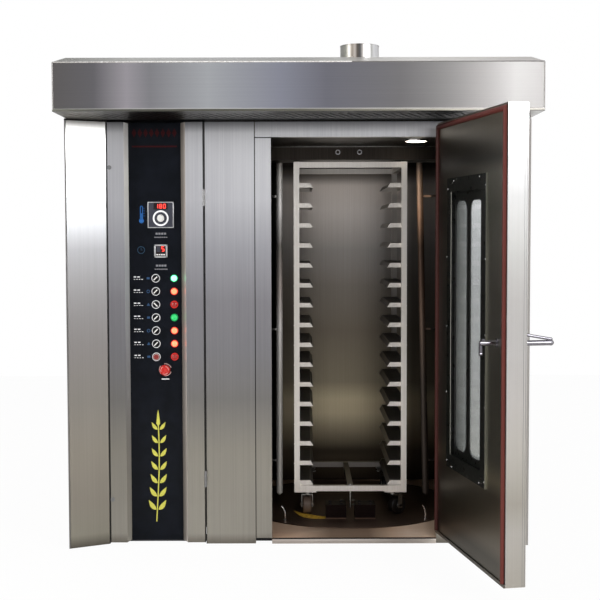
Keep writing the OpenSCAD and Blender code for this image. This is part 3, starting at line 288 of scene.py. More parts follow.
# Near-black on the polished window frame: a painted dark reflection
FRAME_DARK_REFLECTION = surfaced("frame_painted_dark_reflection", "#141513", "#0c0d0b", 0.0, 0.3, 25, Specular_IOR_Level=0.2)
BLACK_PLASTIC = surfaced("abs_black_matt", "#111112", "#0a0a0b", 0.0, 0.5, 2, Specular_IOR_Level=0.15)
BLACK_RUBBER = surfaced("rubber_black", "#1b1b1a", "#101010", 0.0, 0.6, 3)
SLATE = surfaced("polycarbonate_slate", "#30323f", "#292b36", 0.0, 0.35, 6)
DISPLAY_BLACK = surfaced("display_filter_dark", "#1a0709", "#120506", 0.0, 0.15, 20)
WHITE_PLASTIC = surfaced("abs_white_gloss", "#f0efec", "#e2e1dd", 0.0, 0.25, 8)
RED_PLASTIC = surfaced("abs_red_gloss", "#cf2a22", "#b0201b", 0.0, 0.25, 10)
DARK_RED_PLASTIC = surfaced("abs_dark_red", "#8d2622", "#741c1a", 0.0, 0.3, 6)
RED_LENS = surfaced("acrylic_red_unlit", "#b02a24", "#8e1c1b", 0.0, 0.15, 4)
GREEN_LENS = lit("acrylic_green_dim", "#1fae5c", 0.7)
# The collars glow faintly though they are no lamps: painted light
GREEN_RING = lit("acrylic_green_rim", "#0f8a48", 0.35)
RED_RING = lit("acrylic_red_rim", "#c01f18", 0.35)
GREEN_LIT = lit("acrylic_green_lit", "#7dffc4", 2.4)
ORANGE_LIT = lit("acrylic_orange_lit", "#ff7a52", 1.7)
RED_LIT = lit("display_red_lit", "#ff3a30", 3.0)
WHITE_PRINT = surfaced("print_white", "#ffffff", "#ececf0", 0.0, 0.5, 3, 0.00002)
BLUE_PRINT = surfaced("print_blue", "#1f78cf", "#175fa8", 0.0, 0.5, 3, 0.00002)
DIM_BLUE_PRINT = surfaced("print_dim_blue", "#184a78", "#10304e", 0.0, 0.5, 3, 0.00002)
GREY_PRINT = surfaced("print_grey", "#8c8c92", "#6a6a70", 0.0, 0.5, 3, 0.00002)
TEAL_PRINT = surfaced("print_teal", "#1b4a68", "#123450", 0.0, 0.5, 3, 0.00002)
DULL_RED_PRINT = surfaced("print_dull_red", "#3e0e12", "#280a0c", 0.0, 0.6, 4, 0.00002,
                          Specular_IOR_Level=0.1)
PALE_PINK_PRINT = surfaced("print_pale_pink", "#dcb4ae", "#c49a94", 0.0, 0.5, 3, 0.00002)
YELLOW_PRINT = surfaced("print_yellow", "#d6d25a", "#b8b444", 0.0, 0.5, 5, 0.00002)
YELLOW_PAINT = surfaced("paint_yellow_worn", "#ffd050", "#c89830", 0.0, 0.6, 14)
# Silicone door seal, matt red-brown with a dusty bloom, darker towards the hinge side with painted shade
SILICONE = grained("silicone_red_brown", "#6e362f", "#562620", "z", 0.5, across=9, metallic=0.0, sweeps=[
    ("y", [(-1660, "#ffffff"), (-1450, "#dcdcdc"), (-1000, "#b0b0b0"), (-760, "#a0a0a0")])],
                   Specular_IOR_Level=0.2)
DARK_PAINT = surfaced("powder_coat_dark_grey", "#434447", "#34353a", 0.0, 0.5, 2, 0.0002)
MOTOR_ENAMEL = surfaced("enamel_blue_grey", "#54677b", "#445565", 0.0, 0.4, 12, 0.0002)
CAST_IRON = surfaced("cast_iron_bare", "#4b474a", "#2f2c2f", 0.6, 0.6, 5, 0.0006)
# Brown phenolic resin wheels; painted shade darkens the wheels on the right
WHEEL_RESIN = grained("phenolic_resin_brown", "#8a7668", "#64554b", "x", 0.45, 0.0003, metallic=0.0, sweeps=[
    ("x", [(200, "#ffffff"), (300, "#3a3a3c")])])
MINERAL_WOOL = surfaced("mineral_wool_yellow", "#c0b070", "#8f8250", 0.0, 0.95, 14, 0.003)
GLASS = finish("glass_clear_tempered", "#dce2e0", 0.0, 0.03, Transmission_Weight=0.75, Alpha=0.32)[0]
LAMP_GLASS = lit("glass_frosted_lit", "#fff4e2", 6.0)

FINISHES = {
    LEVEL_STEEL: ["hood_shell"],
    GRILLE_STEEL: ["hood_grille"],
    WING_STEEL: ["left_side_panel"],
    RIGHT_WING_STEEL: ["right_side_panel"],
    DOOR_STEEL: ["door_shell"],
    FLUE_STEEL: ["flue_spigot"],
    REAR_WALL_STEEL: ["chamber_rear_wall"],
    CHAMBER_STEEL: ["chamber_front_wall", "chamber_left_wall", "chamber_right_wall",
                    "chamber_ceiling", "ceiling_baffle", "circulation_fan"],
    BAR_STEEL: ["guide_bars"],
    FLOOR_STEEL: ["chamber_floor"],
    DISC_STEEL: ["turntable_disc"],
    LINER_STEEL: ["door_liner"],
    RACK_STEEL: ["rack_frame", "tray_runners"],
    HANDLE_CHROME: ["door_handle"],
    DULL_STEEL: ["upper_latch", "lower_latch"],
    ZINC: ["rack_lock_pin", "caster_fork_left", "caster_fork_right"],
    GLOSS_BLACK: ["control_panel"],
    SATIN_SILVER: ["panel_instruments"],
    FRAME_DARK_REFLECTION: ["window_frame"],
    BLACK_PLASTIC: [f"selector_{i}" for i in range(1, 7)],
    WHITE_PLASTIC: ["temperature_knob"],
    DARK_RED_PLASTIC: ["start_button"],
    RED_PLASTIC: ["stop_button"],
    SILICONE: ["door_gasket"],
    DARK_PAINT: ["base_frame", "electrical_plate"],
    MOTOR_ENAMEL: ["drive_gearmotor", "fan_motor"],
    CAST_IRON: ["drive_roller", "steam_generator", "heating_elements"],
    WHEEL_RESIN: [f"caster_wheel_{p}" for p in ("front_left", "front_right", "rear_left", "rear_right")],
    MINERAL_WOOL: ["insulation"],
    GLASS: ["window_glass"],
    LAMP_GLASS: ["chamber_lamp"],
}
for node in nodes.values():
    node.data.materials.clear()
    node.data.materials.append(UPRIGHT_STEEL)
for material, names in FINISHES.items():
    for name in names:
        nodes[name].data.materials[0] = material


# ---------- drawing ----------
class Piece:
    """One mesh drawn in millimetres from closed solids, in axes that a matrix puts into the frame."""

    def __init__(self, name, body, place=None):
        """Body is the rigid body that it rides, or None for a model that repeat() copies."""
        self.name, self.body, self.place = name, body, place or Matrix()
        self.mesh, self.materials = bmesh.new(), []

    def keep(self, solid, material, bevel=0.0):
        """Takes in a closed solid with its sharp edges rounded by bevel."""
        if bevel:
            sharp = [edge for edge in solid.edges if edge.calc_face_angle(0) > 0.5]
            bmesh.ops.bevel(solid, geom=sharp, offset=bevel, segments=2, profile=0.5, affect="EDGES")
        bmesh.ops.recalc_face_normals(solid, faces=solid.faces)
        bmesh.ops.transform(solid, matrix=self.place, verts=solid.verts)
        if material not in self.materials:
            self.materials.append(material)
        for face in solid.faces:
            face.material_index = self.materials.index(material)
        scratch = bpy.data.meshes.new("scratch")
        solid.to_mesh(scratch)
        solid.free()
        self.mesh.from_mesh(scratch)
        bpy.data.meshes.remove(scratch)
        return self

    def box(self, low, high, material, bevel=0.0):
        """A box between its lowest and highest corner."""
        solid = bmesh.new()
        bmesh.ops.create_cube(solid, size=1)
        for vertex in solid.verts:
            vertex.co = [high[i] if vertex.co[i] > 0 else low[i] for i in range(3)]
        return self.keep(solid, material, bevel)

    def prism(self, outline, bottom, top, material, bevel=0.0):
        """An outline in the local XY plane, given thickness along Z."""
        solid = bmesh.new()
        face = solid.faces.new([solid.verts.new((x, y, bottom)) for x, y in outline])
        grown = bmesh.ops.extrude_face_region(solid, geom=[face])["geom"]
        bmesh.ops.translate(solid, vec=(0, 0, top - bottom),
                            verts=[part for part in grown if isinstance(part, bmesh.types.BMVert)])
        return self.keep(solid, material, bevel)

    def sweep(self, path, sections, material, closed=False):
        """Rings of (x, y) points set square to a path, one for each of its points, capped unless closed."""
        solid, rings, count = bmesh.new(), [], len(path)
        path = [Vector(point) for point in path]
        normal = None
        for i, point in enumerate(path):
            ahead = path[(i + 1) % count] if closed or i + 1 < count else point
            behind = path[i - 1] if closed or i else point
            along = (ahead - behind).normalized()
            if normal is None:
                normal = along.orthogonal().normalized()
            normal = (normal - along * normal.dot(along)).normalized()
            side = along.cross(normal)
            rings.append([solid.verts.new(point + normal * x + side * y) for x, y in sections[i]])
        size = len(rings[0])
        for i in range(count if closed else count - 1):
            near, far = rings[i], rings[(i + 1) % count]
            for k in range(size):
                solid.faces.new((near[k], near[(k + 1) % size], far[(k + 1) % size], far[k]))
        if not closed:
            solid.faces.new(rings[0])
            solid.faces.new(rings[-1])
        return self.keep(solid, material)

    def tube(self, path, radius, material, closed=False, segments=14):
        """A round bar or wire along a path. Radius is one number, or one for each point."""
        radii = radius if isinstance(radius, list) else [radius] * len(path)
        return self.sweep(path, [circle(r, segments) for r in radii], material, closed)

    def turned(self, at, profile, material, axis=(0, 0, 1), segments=32):
        """(radius, height) points turned about an axis through at. A profile of four or more that ends
        where it starts makes a ring."""
        turn = Vector(axis).to_track_quat("Z", "Y").to_matrix().to_4x4()
        solid, rings = bmesh.new(), []
        ring = len(profile) > 3 and profile[0] == profile[-1]
        for radius, height in profile[:-1] if ring else profile:
            count = segments if radius > 0 else 1
            rings.append([solid.verts.new((radius * math.cos(math.tau * k / count),
                                           radius * math.sin(math.tau * k / count), height))
                          for k in range(count)])
        for near, far in zip(rings, rings[1:] + rings[:1] if ring else rings[1:]):
            for k in range(segments):
                corners = [near[k % len(near)], near[(k + 1) % len(near)],
                           far[(k + 1) % len(far)], far[k % len(far)]]
                solid.faces.new(list(dict.fromkeys(corners)))
        if not ring:
            for end in (rings[0], rings[-1]):
                if len(end) > 1:
                    solid.faces.new(end)
        bmesh.ops.transform(solid, matrix=Matrix.Translation(at) @ turn, verts=solid.verts)
        return self.keep(solid, material)

    def done(self, *replaced):
        """The finished object, smooth except at its sharp edges, riding on its body."""
        bmesh.ops.scale(self.mesh, vec=(0.001, 0.001, 0.001), verts=self.mesh.verts)
        for face in self.mesh.faces:
            face.smooth = True
        for edge in self.mesh.edges:
            edge.smooth = edge.calc_face_angle(0) < math.radians(38)
        data = bpy.data.meshes.new(self.name)
        self.mesh.to_mesh(data)
        self.mesh.free()
        for material in self.materials:
            data.materials.append(material)
        thing = bpy.data.objects.new(self.name, data)
        bpy.context.scene.collection.objects.link(thing)
        if self.body:
            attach(thing, self.body)
        if replaced:
            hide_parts(*replaced)
        return thing


def circle(radius, count=14):
    """Points on a circle round the origin of the local XY plane."""
    return [(radius * math.cos(math.tau * k / count), radius * math.sin(math.tau * k / count))
            for k in range(count)]


def rounded(x0, y0, x1, y1, radius, steps=4):
    """A rectangle with round corners, as an outline."""
    outline = []
    for quarter, (cx, cy) in enumerate([(x1 - radius, y1 - radius), (x0 + radius, y1 - radius),
                                        (x0 + radius, y0 + radius), (x1 - radius, y0 + radius)]):
        for k in range(steps + 1):
            angle = math.pi / 2 * (quarter + k / steps)
            outline.append((cx + radius * math.cos(angle), cy + radius * math.sin(angle)))
    return outline


def arc(centre, radius, start, stop, count=24):
    """Points on a circle in the local XY plane, between two angles in degrees."""
    return [(centre[0] + radius * math.cos(math.radians(start + (stop - start) * k / count)),
             centre[1] + radius * math.sin(math.radians(start + (stop - start) * k / count)))
            for k in range(count + 1)]


def spots_on_circle(x, y, z, radius, count, shift=0.0):
    """Evenly spaced spots on a level circle, shifted by a share of their spacing."""
    angles = [math.tau * (k + shift) / count for k in range(count)]
    return [(x + radius * math.cos(a), y + radius * math.sin(a), z) for a in angles]


def band(inner, outer):
    """A flat strip between two runs of points, as one outline."""
    return list(inner) + list(reversed(outer))


def repeating_tree():
    """Geometry nodes: a model copied onto every point, spun and sized with a seeded spread."""
    tree = bpy.data.node_groups.new("copies_on_points", "GeometryNodeTree")
    for name, kind in [("Points", "NodeSocketGeometry"), ("Model", "NodeSocketObject"),
                       ("Spin spread", "NodeSocketFloat"), ("Size spread", "NodeSocketFloat"),
                       ("Seed", "NodeSocketInt"), ("Material", "NodeSocketMaterial")]:
        tree.interface.new_socket(name, in_out="INPUT", socket_type=kind)
    tree.interface.new_socket("Copies", in_out="OUTPUT", socket_type="NodeSocketGeometry")
    given = add(tree, "NodeGroupInput").outputs
    model = add(tree, "GeometryNodeObjectInfo", {"Object": given["Model"]})
    back = add(tree, "ShaderNodeMath", {0: given["Spin spread"], 1: -1.0}, operation="MULTIPLY")
    small = add(tree, "ShaderNodeMath", {0: 1.0, 1: given["Size spread"]}, operation="SUBTRACT")
    large = add(tree, "ShaderNodeMath", {0: 1.0, 1: given["Size spread"]}, operation="ADD")
    spin = add(tree, "FunctionNodeRandomValue", {2: back.outputs[0], 3: given["Spin spread"],
                                                 "Seed": given["Seed"]})
    size = add(tree, "FunctionNodeRandomValue", {2: small.outputs[0], 3: large.outputs[0],
                                                 "Seed": given["Seed"]})
    about = add(tree, "ShaderNodeCombineXYZ", {"Z": spin.outputs[1]})
    copies = add(tree, "GeometryNodeInstanceOnPoints",
                 {"Points": given["Points"], "Instance": model.outputs["Geometry"],
                  "Rotation": about.outputs[0], "Scale": size.outputs[1]})
    real = add(tree, "GeometryNodeRealizeInstances", {"Geometry": copies.outputs[0]})
    painted = add(tree, "GeometryNodeSetMaterial", {"Geometry": real.outputs[0],
                                                    "Material": given["Material"]})
    add(tree, "NodeGroupOutput", {"Copies": painted.outputs[0]})
    return tree


def repeat(name, body, model, spots, place=None, spin=0.0, spread=0.0, seed=1):
    """Copies of a model's mesh, made round its own Z axis, on spots given in millimetres."""
    pattern = model.done()
    data = bpy.data.meshes.new(name)
    data.from_pydata([mm(*spot) for spot in spots], [], [])
    thing = bpy.data.objects.new(name, data)
    bpy.context.scene.collection.objects.link(thing)
    copier = thing.modifiers.new("copies", "NODES")
    copier.node_group = COPIES
    given = {"Model": pattern, "Spin spread": spin, "Size spread": spread, "Seed": seed,
             "Material": pattern.data.materials[0]}
    for item in COPIES.interface.items_tree:
        if item.name in given:
            copier[item.identifier] = given[item.name]
    made = bpy.data.meshes.new_from_object(thing.evaluated_get(bpy.context.evaluated_depsgraph_get()))
    thing.modifiers.clear()
    thing.data = made
    made.transform(metres(place or Matrix()))
    bpy.data.meshes.remove(data)
    bpy.data.objects.remove(pattern)
    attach(thing, body)
    return thing


def metres(place):
    """A placing matrix in millimetres, for a mesh that is already in metres."""
    moved = place.copy()
    moved.translation = moved.translation / 1000
    return moved


COPIES = repeating_tree()


def pan_screw(name, radius, material=CHROME):
    """A pan-head screw standing on Z = 0, with a cross recess pressed into its head."""
    screw = Piece(name, None)
    screw.turned((0, 0, -1), [(0, 0), (radius, 0), (radius, 1.2), (radius * 0.8, 1 + radius * 0.4),
                              (radius * 0.35, 1 + radius * 0.52), (radius * 0.3, 1 + radius * 0.3),
                              (0, 1 + radius * 0.3)], material, segments=20)
    return screw


def hex_bolt(name, across, material=ZINC):
    """A hexagon bolt head on a round washer, standing on Z = 0."""
    bolt = Piece(name, None)
    radius = across / math.sqrt(3)
    bolt.turned((0, 0, -1), [(0, 0), (across * 0.95, 0), (across * 0.95, 2.2), (0, 2.2)],
                material, segments=24)
    bolt.turned((0, 0, 1), [(0, 0), (radius, 0), (radius, across * 0.3), (radius * 0.8, across * 0.38),
                            (0, across * 0.38)], material, segments=6)
    return bolt


def spot(node):
    """The middle of a CAD node's box, in millimetres."""
    low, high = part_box(node)
    return 500 * (Vector(low) + Vector(high))


def edges(node):
    """A CAD node's lowest and highest corner, in millimetres."""
    low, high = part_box(node)
    return 1000 * Vector(low), 1000 * Vector(high)


# ---------- control panel ----------
def panel_axes():
    """The panel's front: X across, Y up, Z out towards the user."""
    bezel_height = 4
    front = edges("control_panel")[0].y + bezel_height
    return Matrix(((1, 0, 0, 0), (0, 0, -1, front), (0, 1, 0, 0), (0, 0, 0, 1)))


PANEL = panel_axes()
SWITCHES = [spot(f"selector_{i}") for i in range(1, 7)] + [spot("start_button")]
LAMP_X = spot("indicator_lamps").x
DIAL, STOP = spot("temperature_knob"), spot("stop_button")
SEGMENTS = {"0": "abcdef", "1": "bc", "5": "afgcd", "8": "abcdefg"}
PRINT_H = 0.4


def digit(piece, sign, x, y, width, height, out, material):
    """A seven-segment figure with its lower left corner at x, y."""
    bar, half = width * 0.2, height / 2
    right = width - bar
    strokes = {"a": (bar, height - bar, right, height), "b": (right, half, width, height - bar / 2),
               "c": (right, bar / 2, width, half), "d": (bar, 0, right, bar),
               "e": (0, bar / 2, bar, half), "f": (0, half, bar, height - bar / 2),
               "g": (bar, half - bar / 2, right, half + bar / 2)}
    for name in SEGMENTS[sign]:
        x0, y0, x1, y1 = strokes[name]
        piece.box((x + x0, y + y0, out), (x + x1, y + y1, out + 0.6), material)


def square_frame(piece, x, y, half, rim, top):
    """Four satin bars round a square instrument with its middle at x, y."""
    reach, thin = half - rim / 2, rim / 2
    for sx, sy, w, h in [(0, 1, half, thin), (0, -1, half, thin), (1, 0, thin, half), (-1, 0, thin, half)]:
        cx, cy = x + sx * reach, y + sy * reach
        piece.box((cx - w, cy - h, 0.3), (cx + w, cy + h, top), SATIN_SILVER, 0.8)


def controller():
    """Square controller: satin frame, slate face, lit three-figure display, a scale round its knob."""
    top, side, proud = edges("panel_instruments")[1].z, 122, 6
    x, y = DIAL.x, top - side / 2
    half, rim = side / 2, 4
    piece = Piece("controller_face", "control_door", PANEL)
    piece.box((x - half + rim, y - half + rim, proud - 1.2), (x + half - rim, y + half - rim, proud - 0.4),
              SLATE, 0.2)
    square_frame(piece, x, y, half, rim, proud + 1)
    wide, high = 66, 31
    wx, wy = x - wide / 2, y + 25
    piece.box((wx, wy, proud - 1), (wx + wide, wy + high, proud + 0.2), DISPLAY_BLACK, 0.4)
    for i, sign in enumerate("180"):
        digit(piece, sign, wx + 9 + 18 * i, wy + 5, 12, 21, proud + 0.1, RED_LIT)
    scale_at, ring_out, ring_in = (DIAL.x, DIAL.z, proud - 0.6), 37, 29
    scale = [(ring_in, 0), (ring_out, 0), (ring_out, 1), (ring_in, 1), (ring_in, 0)]
    piece.turned(scale_at, scale, WHITE_PRINT, segments=48)
    first, step = 240, 30
    for k in range(11):
        turn = Matrix.Rotation(math.radians(first - step * k), 4, "Z")
        piece.place = PANEL @ Matrix.Translation(scale_at) @ turn
        piece.box((22, -0.8, 0), (26, 0.8, 1), GREY_PRINT)
    piece.done()


def timer():
    """Small square timer: silver frame, a lit figure on the right and a row of keys along the foot."""
    low, side, proud = edges("panel_instruments")[0].z, 62, 6
    x, y, half, rim = DIAL.x - 1, low + side / 2, side / 2, 7
    piece = Piece("timer_face", "control_door", PANEL)
    face = half - 4
    piece.box((x - face, y - face, proud - 1.2), (x + face, y + face, proud - 0.5), DISPLAY_BLACK, 0.2)
    square_frame(piece, x, y, half, rim, proud + 1.2)
    piece.box((x - 19, y - 4, proud - 0.6), (x - 2, y + 22, proud + 0.2), SLATE, 0.3)
    digit(piece, "5", x + 3, y - 2, 14, 24, proud - 0.5, RED_LIT)
    key = 6
    for k in range(4):
        kx = x - 21 + k * 11
        piece.box((kx, y - 20, proud - 0.6), (kx + key + 2, y - 20 + key, proud + 1.4), WHITE_PLASTIC, 0.5)
    piece.done()


def pictograms():
    """A blue thermometer, a teal clock face, plain signs and bars by the switches, a row of diamonds."""
    piece = Piece("panel_signs", "control_door", PANEL)
    out = PRINT_H
    x, y = DIAL.x - 91, DIAL.z - 12
    tall, wide, bulb = 64, 12, 11
    stem_in = wide / 2 - 2.4
    outer = arc((x, y), bulb, 125, 415) + arc((x, y + tall), wide / 2, 0, 180, 12)
    inner = arc((x, y), bulb - 2.8, 115, 425) + arc((x, y + tall), stem_in, 0, 180, 12)
    for k in range(len(outer)):
        after = (k + 1) % len(outer)
        piece.prism([outer[k], outer[after], inner[after], inner[k]], 0, out, BLUE_PRINT)
    piece.turned((x, y, 0), [(0, 0), (bulb - 4, 0), (bulb - 4, out), (0, out)], BLUE_PRINT, segments=20)
    piece.box((x - 1.6, y, 0), (x + 1.6, y + tall * 0.55, out), BLUE_PRINT)
    for k in range(4):
        piece.box((x + 9, y + 22 + 12 * k, 0), (x + 15, y + 23.6 + 12 * k, out), BLUE_PRINT)
    x, y = DIAL.x - 94, spot("panel_instruments").z - 95
    piece.turned((x, y, 0), [(15, 0), (17.5, 0), (17.5, out), (15, out), (15, 0)], TEAL_PRINT, segments=32)
    piece.box((x - 1, y - 1, 0), (x + 1, y + 11, out), TEAL_PRINT)
    piece.box((x - 1, y - 1, 0), (x + 8, y + 1, out), TEAL_PRINT)
    for row, switch in enumerate(SWITCHES):
        x, y = switch.x - 36, switch.z
        if row % 3 == 0:
            piece.box((x - 7, y - 5, 0), (x + 7, y + 5, out), DIM_BLUE_PRINT)
        elif row % 3 == 1:
            piece.turned((x, y, 0), [(5, 0), (8, 0), (8, out), (5, out), (5, 0)], DIM_BLUE_PRINT, segments=20)
        else:
            piece.prism([(x - 8, y - 6), (x + 8, y - 6), (x, y + 8)], 0, out, DIM_BLUE_PRINT)
        for count, lift, wide, high in [(2, 4, 12, 5), (4, -6, 7, 2.4)]:
            for k in range(count):
                x0 = switch.x - 104 + k * (wide + 5)
                piece.box((x0, y + lift, 0), (x0 + wide, y + lift + high, out), WHITE_PRINT)
    for bars_z in (1452, 1302):
        for k in range(4):
            x0 = DIAL.x - 25 + k * 13
            piece.box((x0, bars_z + 7, 0), (x0 + 10, bars_z + 16, out), GREY_PRINT)
        for k in range(7):
            x0 = DIAL.x - 31 + k * 9
            piece.box((x0, bars_z - 8, 0), (x0 + 6.5, bars_z - 3, out), GREY_PRINT)
    x, y = STOP.x, STOP.z - 46
    piece.box((x - 18, y, 0), (x + 18, y + 4, out), WHITE_PRINT)
    middle_z, line_z, left = 1934, 1871, spot("control_panel").x - 106
    for k in range(8):
        x0 = left + k * 27
        diamond = [(x0, middle_z), (x0 + 11, middle_z - 22), (x0 + 22, middle_z), (x0 + 11, middle_z + 22)]
        piece.prism(diamond, 0, out, DULL_RED_PRINT)
    piece.box((left, line_z - 4, 0), (left + 211, line_z + 4, out), DULL_RED_PRINT)
    piece.done()


def grain_ear():
    """A printed ear of grain in yellow: paired pointed grains up a gently bent stalk."""
    foot, tall, pairs, half = 96, 505, 7, 2.6
    grain_length, grain_width, splay = 62, 15, 38
    piece = Piece("grain_ear_print", "control_door", PANEL)

    def bend(share):
        """Where the stalk stands, from side to side, at a share of its height."""
        return SWITCHES[0].x + 9 * math.sin(math.pi * (share - 0.2))

    stalk = [(bend(k / 20), foot + tall * k / 20 * 0.93) for k in range(21)]
    for (xa, ya), (xb, yb) in zip(stalk, stalk[1:]):
        length = [(xa - half, ya), (xa + half, ya), (xb + half, yb), (xb - half, yb)]
        piece.prism(length, 0, PRINT_H, YELLOW_PRINT)
    for pair in range(pairs):
        share = 0.16 + 0.76 * pair / (pairs - 1)
        size = 1 - 0.3 * share
        for side in (-1, 1):
            base = Vector((bend(share) + side * 5, foot + tall * share - 24, 0))
            leaf = []
            for k in range(17):
                u = k / 16
                leaf.append((grain_length * size * u, grain_width * size * math.sin(math.pi * u ** 0.75)))
            leaf += [(u, -0.45 * v) for u, v in reversed(leaf[1:-1])]
            lean = math.radians(90 - side * splay)
            outline = [(base.x + u * math.cos(lean) + side * v * math.sin(lean),
                        base.y + u * math.sin(lean) - side * v * math.cos(lean)) for u, v in leaf]
            piece.prism(outline, 0, 0.5, YELLOW_PRINT)
    tip = [(-9, 0.93), (0, 0.9), (9, 0.93), (4, 1.02), (0, 1.06), (-4, 1.02)]
    piece.prism([(bend(1) + aside, foot + tall * up) for aside, up in tip], 0, 0.5, YELLOW_PRINT)
    piece.done()


def arc_strip(piece, radii, start, low, high):
    """A pale arc of 80 degrees round the stop button, between two radii, in eight straight lengths."""
    near, far = [arc((STOP.x, STOP.z), radius, start, start + 80, 8) for radius in radii]
    for k in range(8):
        piece.prism([near[k], near[k + 1], far[k + 1], far[k]], low, high, PALE_PINK_PRINT)


def switches():
    """Bright bezels on the panel, a white lever on each selector, and the caps of the two buttons."""
    rings = Piece("switch_bezels", "control_door", PANEL)
    for switch in SWITCHES + [STOP]:
        at = (switch.x, switch.z, 0.2)
        collar = [(16.8, 0), (19.8, 0), (19.8, 3.8), (19, 5), (17.6, 5), (16.8, 4.2), (16.8, 0)]
        seat = [(14.4, 0), (16.8, 0), (16.8, 4.2), (14.4, 4.2), (14.4, 0)]
        rings.turned(at, collar, WHITE_PRINT, segments=40)
        rings.turned(at, seat, BLACK_PLASTIC, segments=40)
    for start in (20, 140, 260):
        arc_strip(rings, (27, 30), start, 0, 0.5)
    rings.done()
    out = -edges("selector_1")[0].y + edges("control_panel")[0].y + 4
    for number, switch in enumerate(SWITCHES[:6], 1):
        turn = math.radians(45 if number == 3 else -45)
        axes = PANEL @ Matrix.Translation((switch.x, switch.z, 0)) @ Matrix.Rotation(turn, 4, "Z")
        lever = Piece(f"selector_{number}_lever", f"selector_{number}", axes)
        lever.prism(rounded(-2.6, -12.4, 2.6, 12.4, 2.4), out - 1.4, out + 0.9, WHITE_PLASTIC, 0.4)
        lever.done()
    start = SWITCHES[6]
    cap = Piece("start_button_cap", "start_button", PANEL)
    cap.turned((start.x, start.z, 9.2), [(0, 0), (13.4, 0), (13.4, 1.6), (12, 2.6), (9, 2.2), (0, 1.6)],
               DARK_RED_PLASTIC, segments=36)
    cap.turned((start.x, start.z, 9.6), [(12.2, 0), (14, 0), (14, 1.9), (12.2, 2.6), (12.2, 0)],
               PALE_PINK_PRINT, segments=36)
    cap.done()
    cap = Piece("stop_button_arrow_ring", "stop_button", PANEL)
    for start in (0, 120, 240):
        arc_strip(cap, (17.5, 19.5), start, 28.2, 28.8)
    cap.done()


def lamps():
    """Seven domed pilot lenses in collars of their own colour: four lit, a dim green one and two unlit."""
    colours = [GREEN_LIT, ORANGE_LIT, RED_LENS, GREEN_LENS, ORANGE_LIT, ORANGE_LIT, RED_LENS]
    collar = [(13.8, 0), (18, 0), (18, 3.2), (16.4, 5.2), (13.8, 5.4), (13.8, 0)]
    dome = [(0, 0), (14, 0), (14, 5.5), (12.6, 7.6), (10.2, 8.4),
            (9.2, 8.0), (6.4, 9.4), (3, 10.2), (0, 10.5)]
    piece = Piece("pilot_lenses", "control_door", PANEL)
    for switch, lens in zip(SWITCHES, colours):
        at = (LAMP_X, switch.z, 0)
        rim = GREEN_RING if lens in (GREEN_LIT, GREEN_LENS) else RED_RING
        piece.turned(at, collar, rim, segments=36)
        piece.turned(at, dome, lens, segments=36)
    piece.done("indicator_lamps")


# ---------- oven door ----------
def door_axes():
    """The oven door's own axes: X 0 at its hinge edge, Y 0 on its outer face, as in the CAD."""
    offset, opened = 10, math.radians(100.6)
    pin = mm_of_joint("oven_door_swing")
    return (Matrix.Translation((pin.x, pin.y, 0)) @ Matrix.Rotation(opened, 4, "Z")
            @ Matrix.Translation((-offset, offset, 0)))


def mm_of_joint(name):
    """A joint's place, in millimetres."""
    joint = next(j for j in frame["joints"] if j["name"] == name)
    return 1000 * Vector(joint["pos_m"])


DOOR = door_axes()
DOOR_W, DOOR_T, DOOR_LOW, DOOR_HIGH = 902, 83.5, 89, 1958
HINGE_HEIGHTS = (DOOR_LOW + 190, (DOOR_LOW + DOOR_HIGH) / 2, DOOR_HIGH - 190)
WINDOW = {"near": 168, "far": 679, "low": 430, "high": 1702, "border": 60}
INWARD = Matrix.Rotation(-math.pi / 2, 4, "X")
OUTWARD = Matrix.Rotation(math.pi / 2, 4, "X")


def door_screws():
    """Pan heads round the window, inside and out."""
    near, far, low, high, _ = WINDOW.values()
    inner = [(near + 9, high - 47), (near + 92, high - 14), (far - 83, high - 11), (far - 9, high - 47)]
    inner += [(side, low + part * (high - low)) for part in (0.26, 0.49, 0.73)
              for side in (near - 2, far - 5)]
    inner += [(near + 6, low + 27), (near + 78, low + 9), (far - 71, low + 12), (far - 8, low + 27)]
    proud = DOOR_T + 6.2
    place = DOOR @ Matrix.Translation((0, proud, 0)) @ INWARD
    repeat("window_screws_inside", "oven_door", pan_screw("screw_a", 3.6),
           [(-s, -z, 0) for s, z in inner], place, spin=0.7, seed=3)
    outer = [(x, z) for x in (near + 12, far - 12) for z in range(low + 40, high, 198)]
    place = DOOR @ Matrix.Translation((0, -2, 0)) @ OUTWARD
    repeat("window_screws_outside", "oven_door", pan_screw("screw_b", 4.5),
           [(-s, z, 0) for s, z in outer], place, spin=0.7, seed=4)


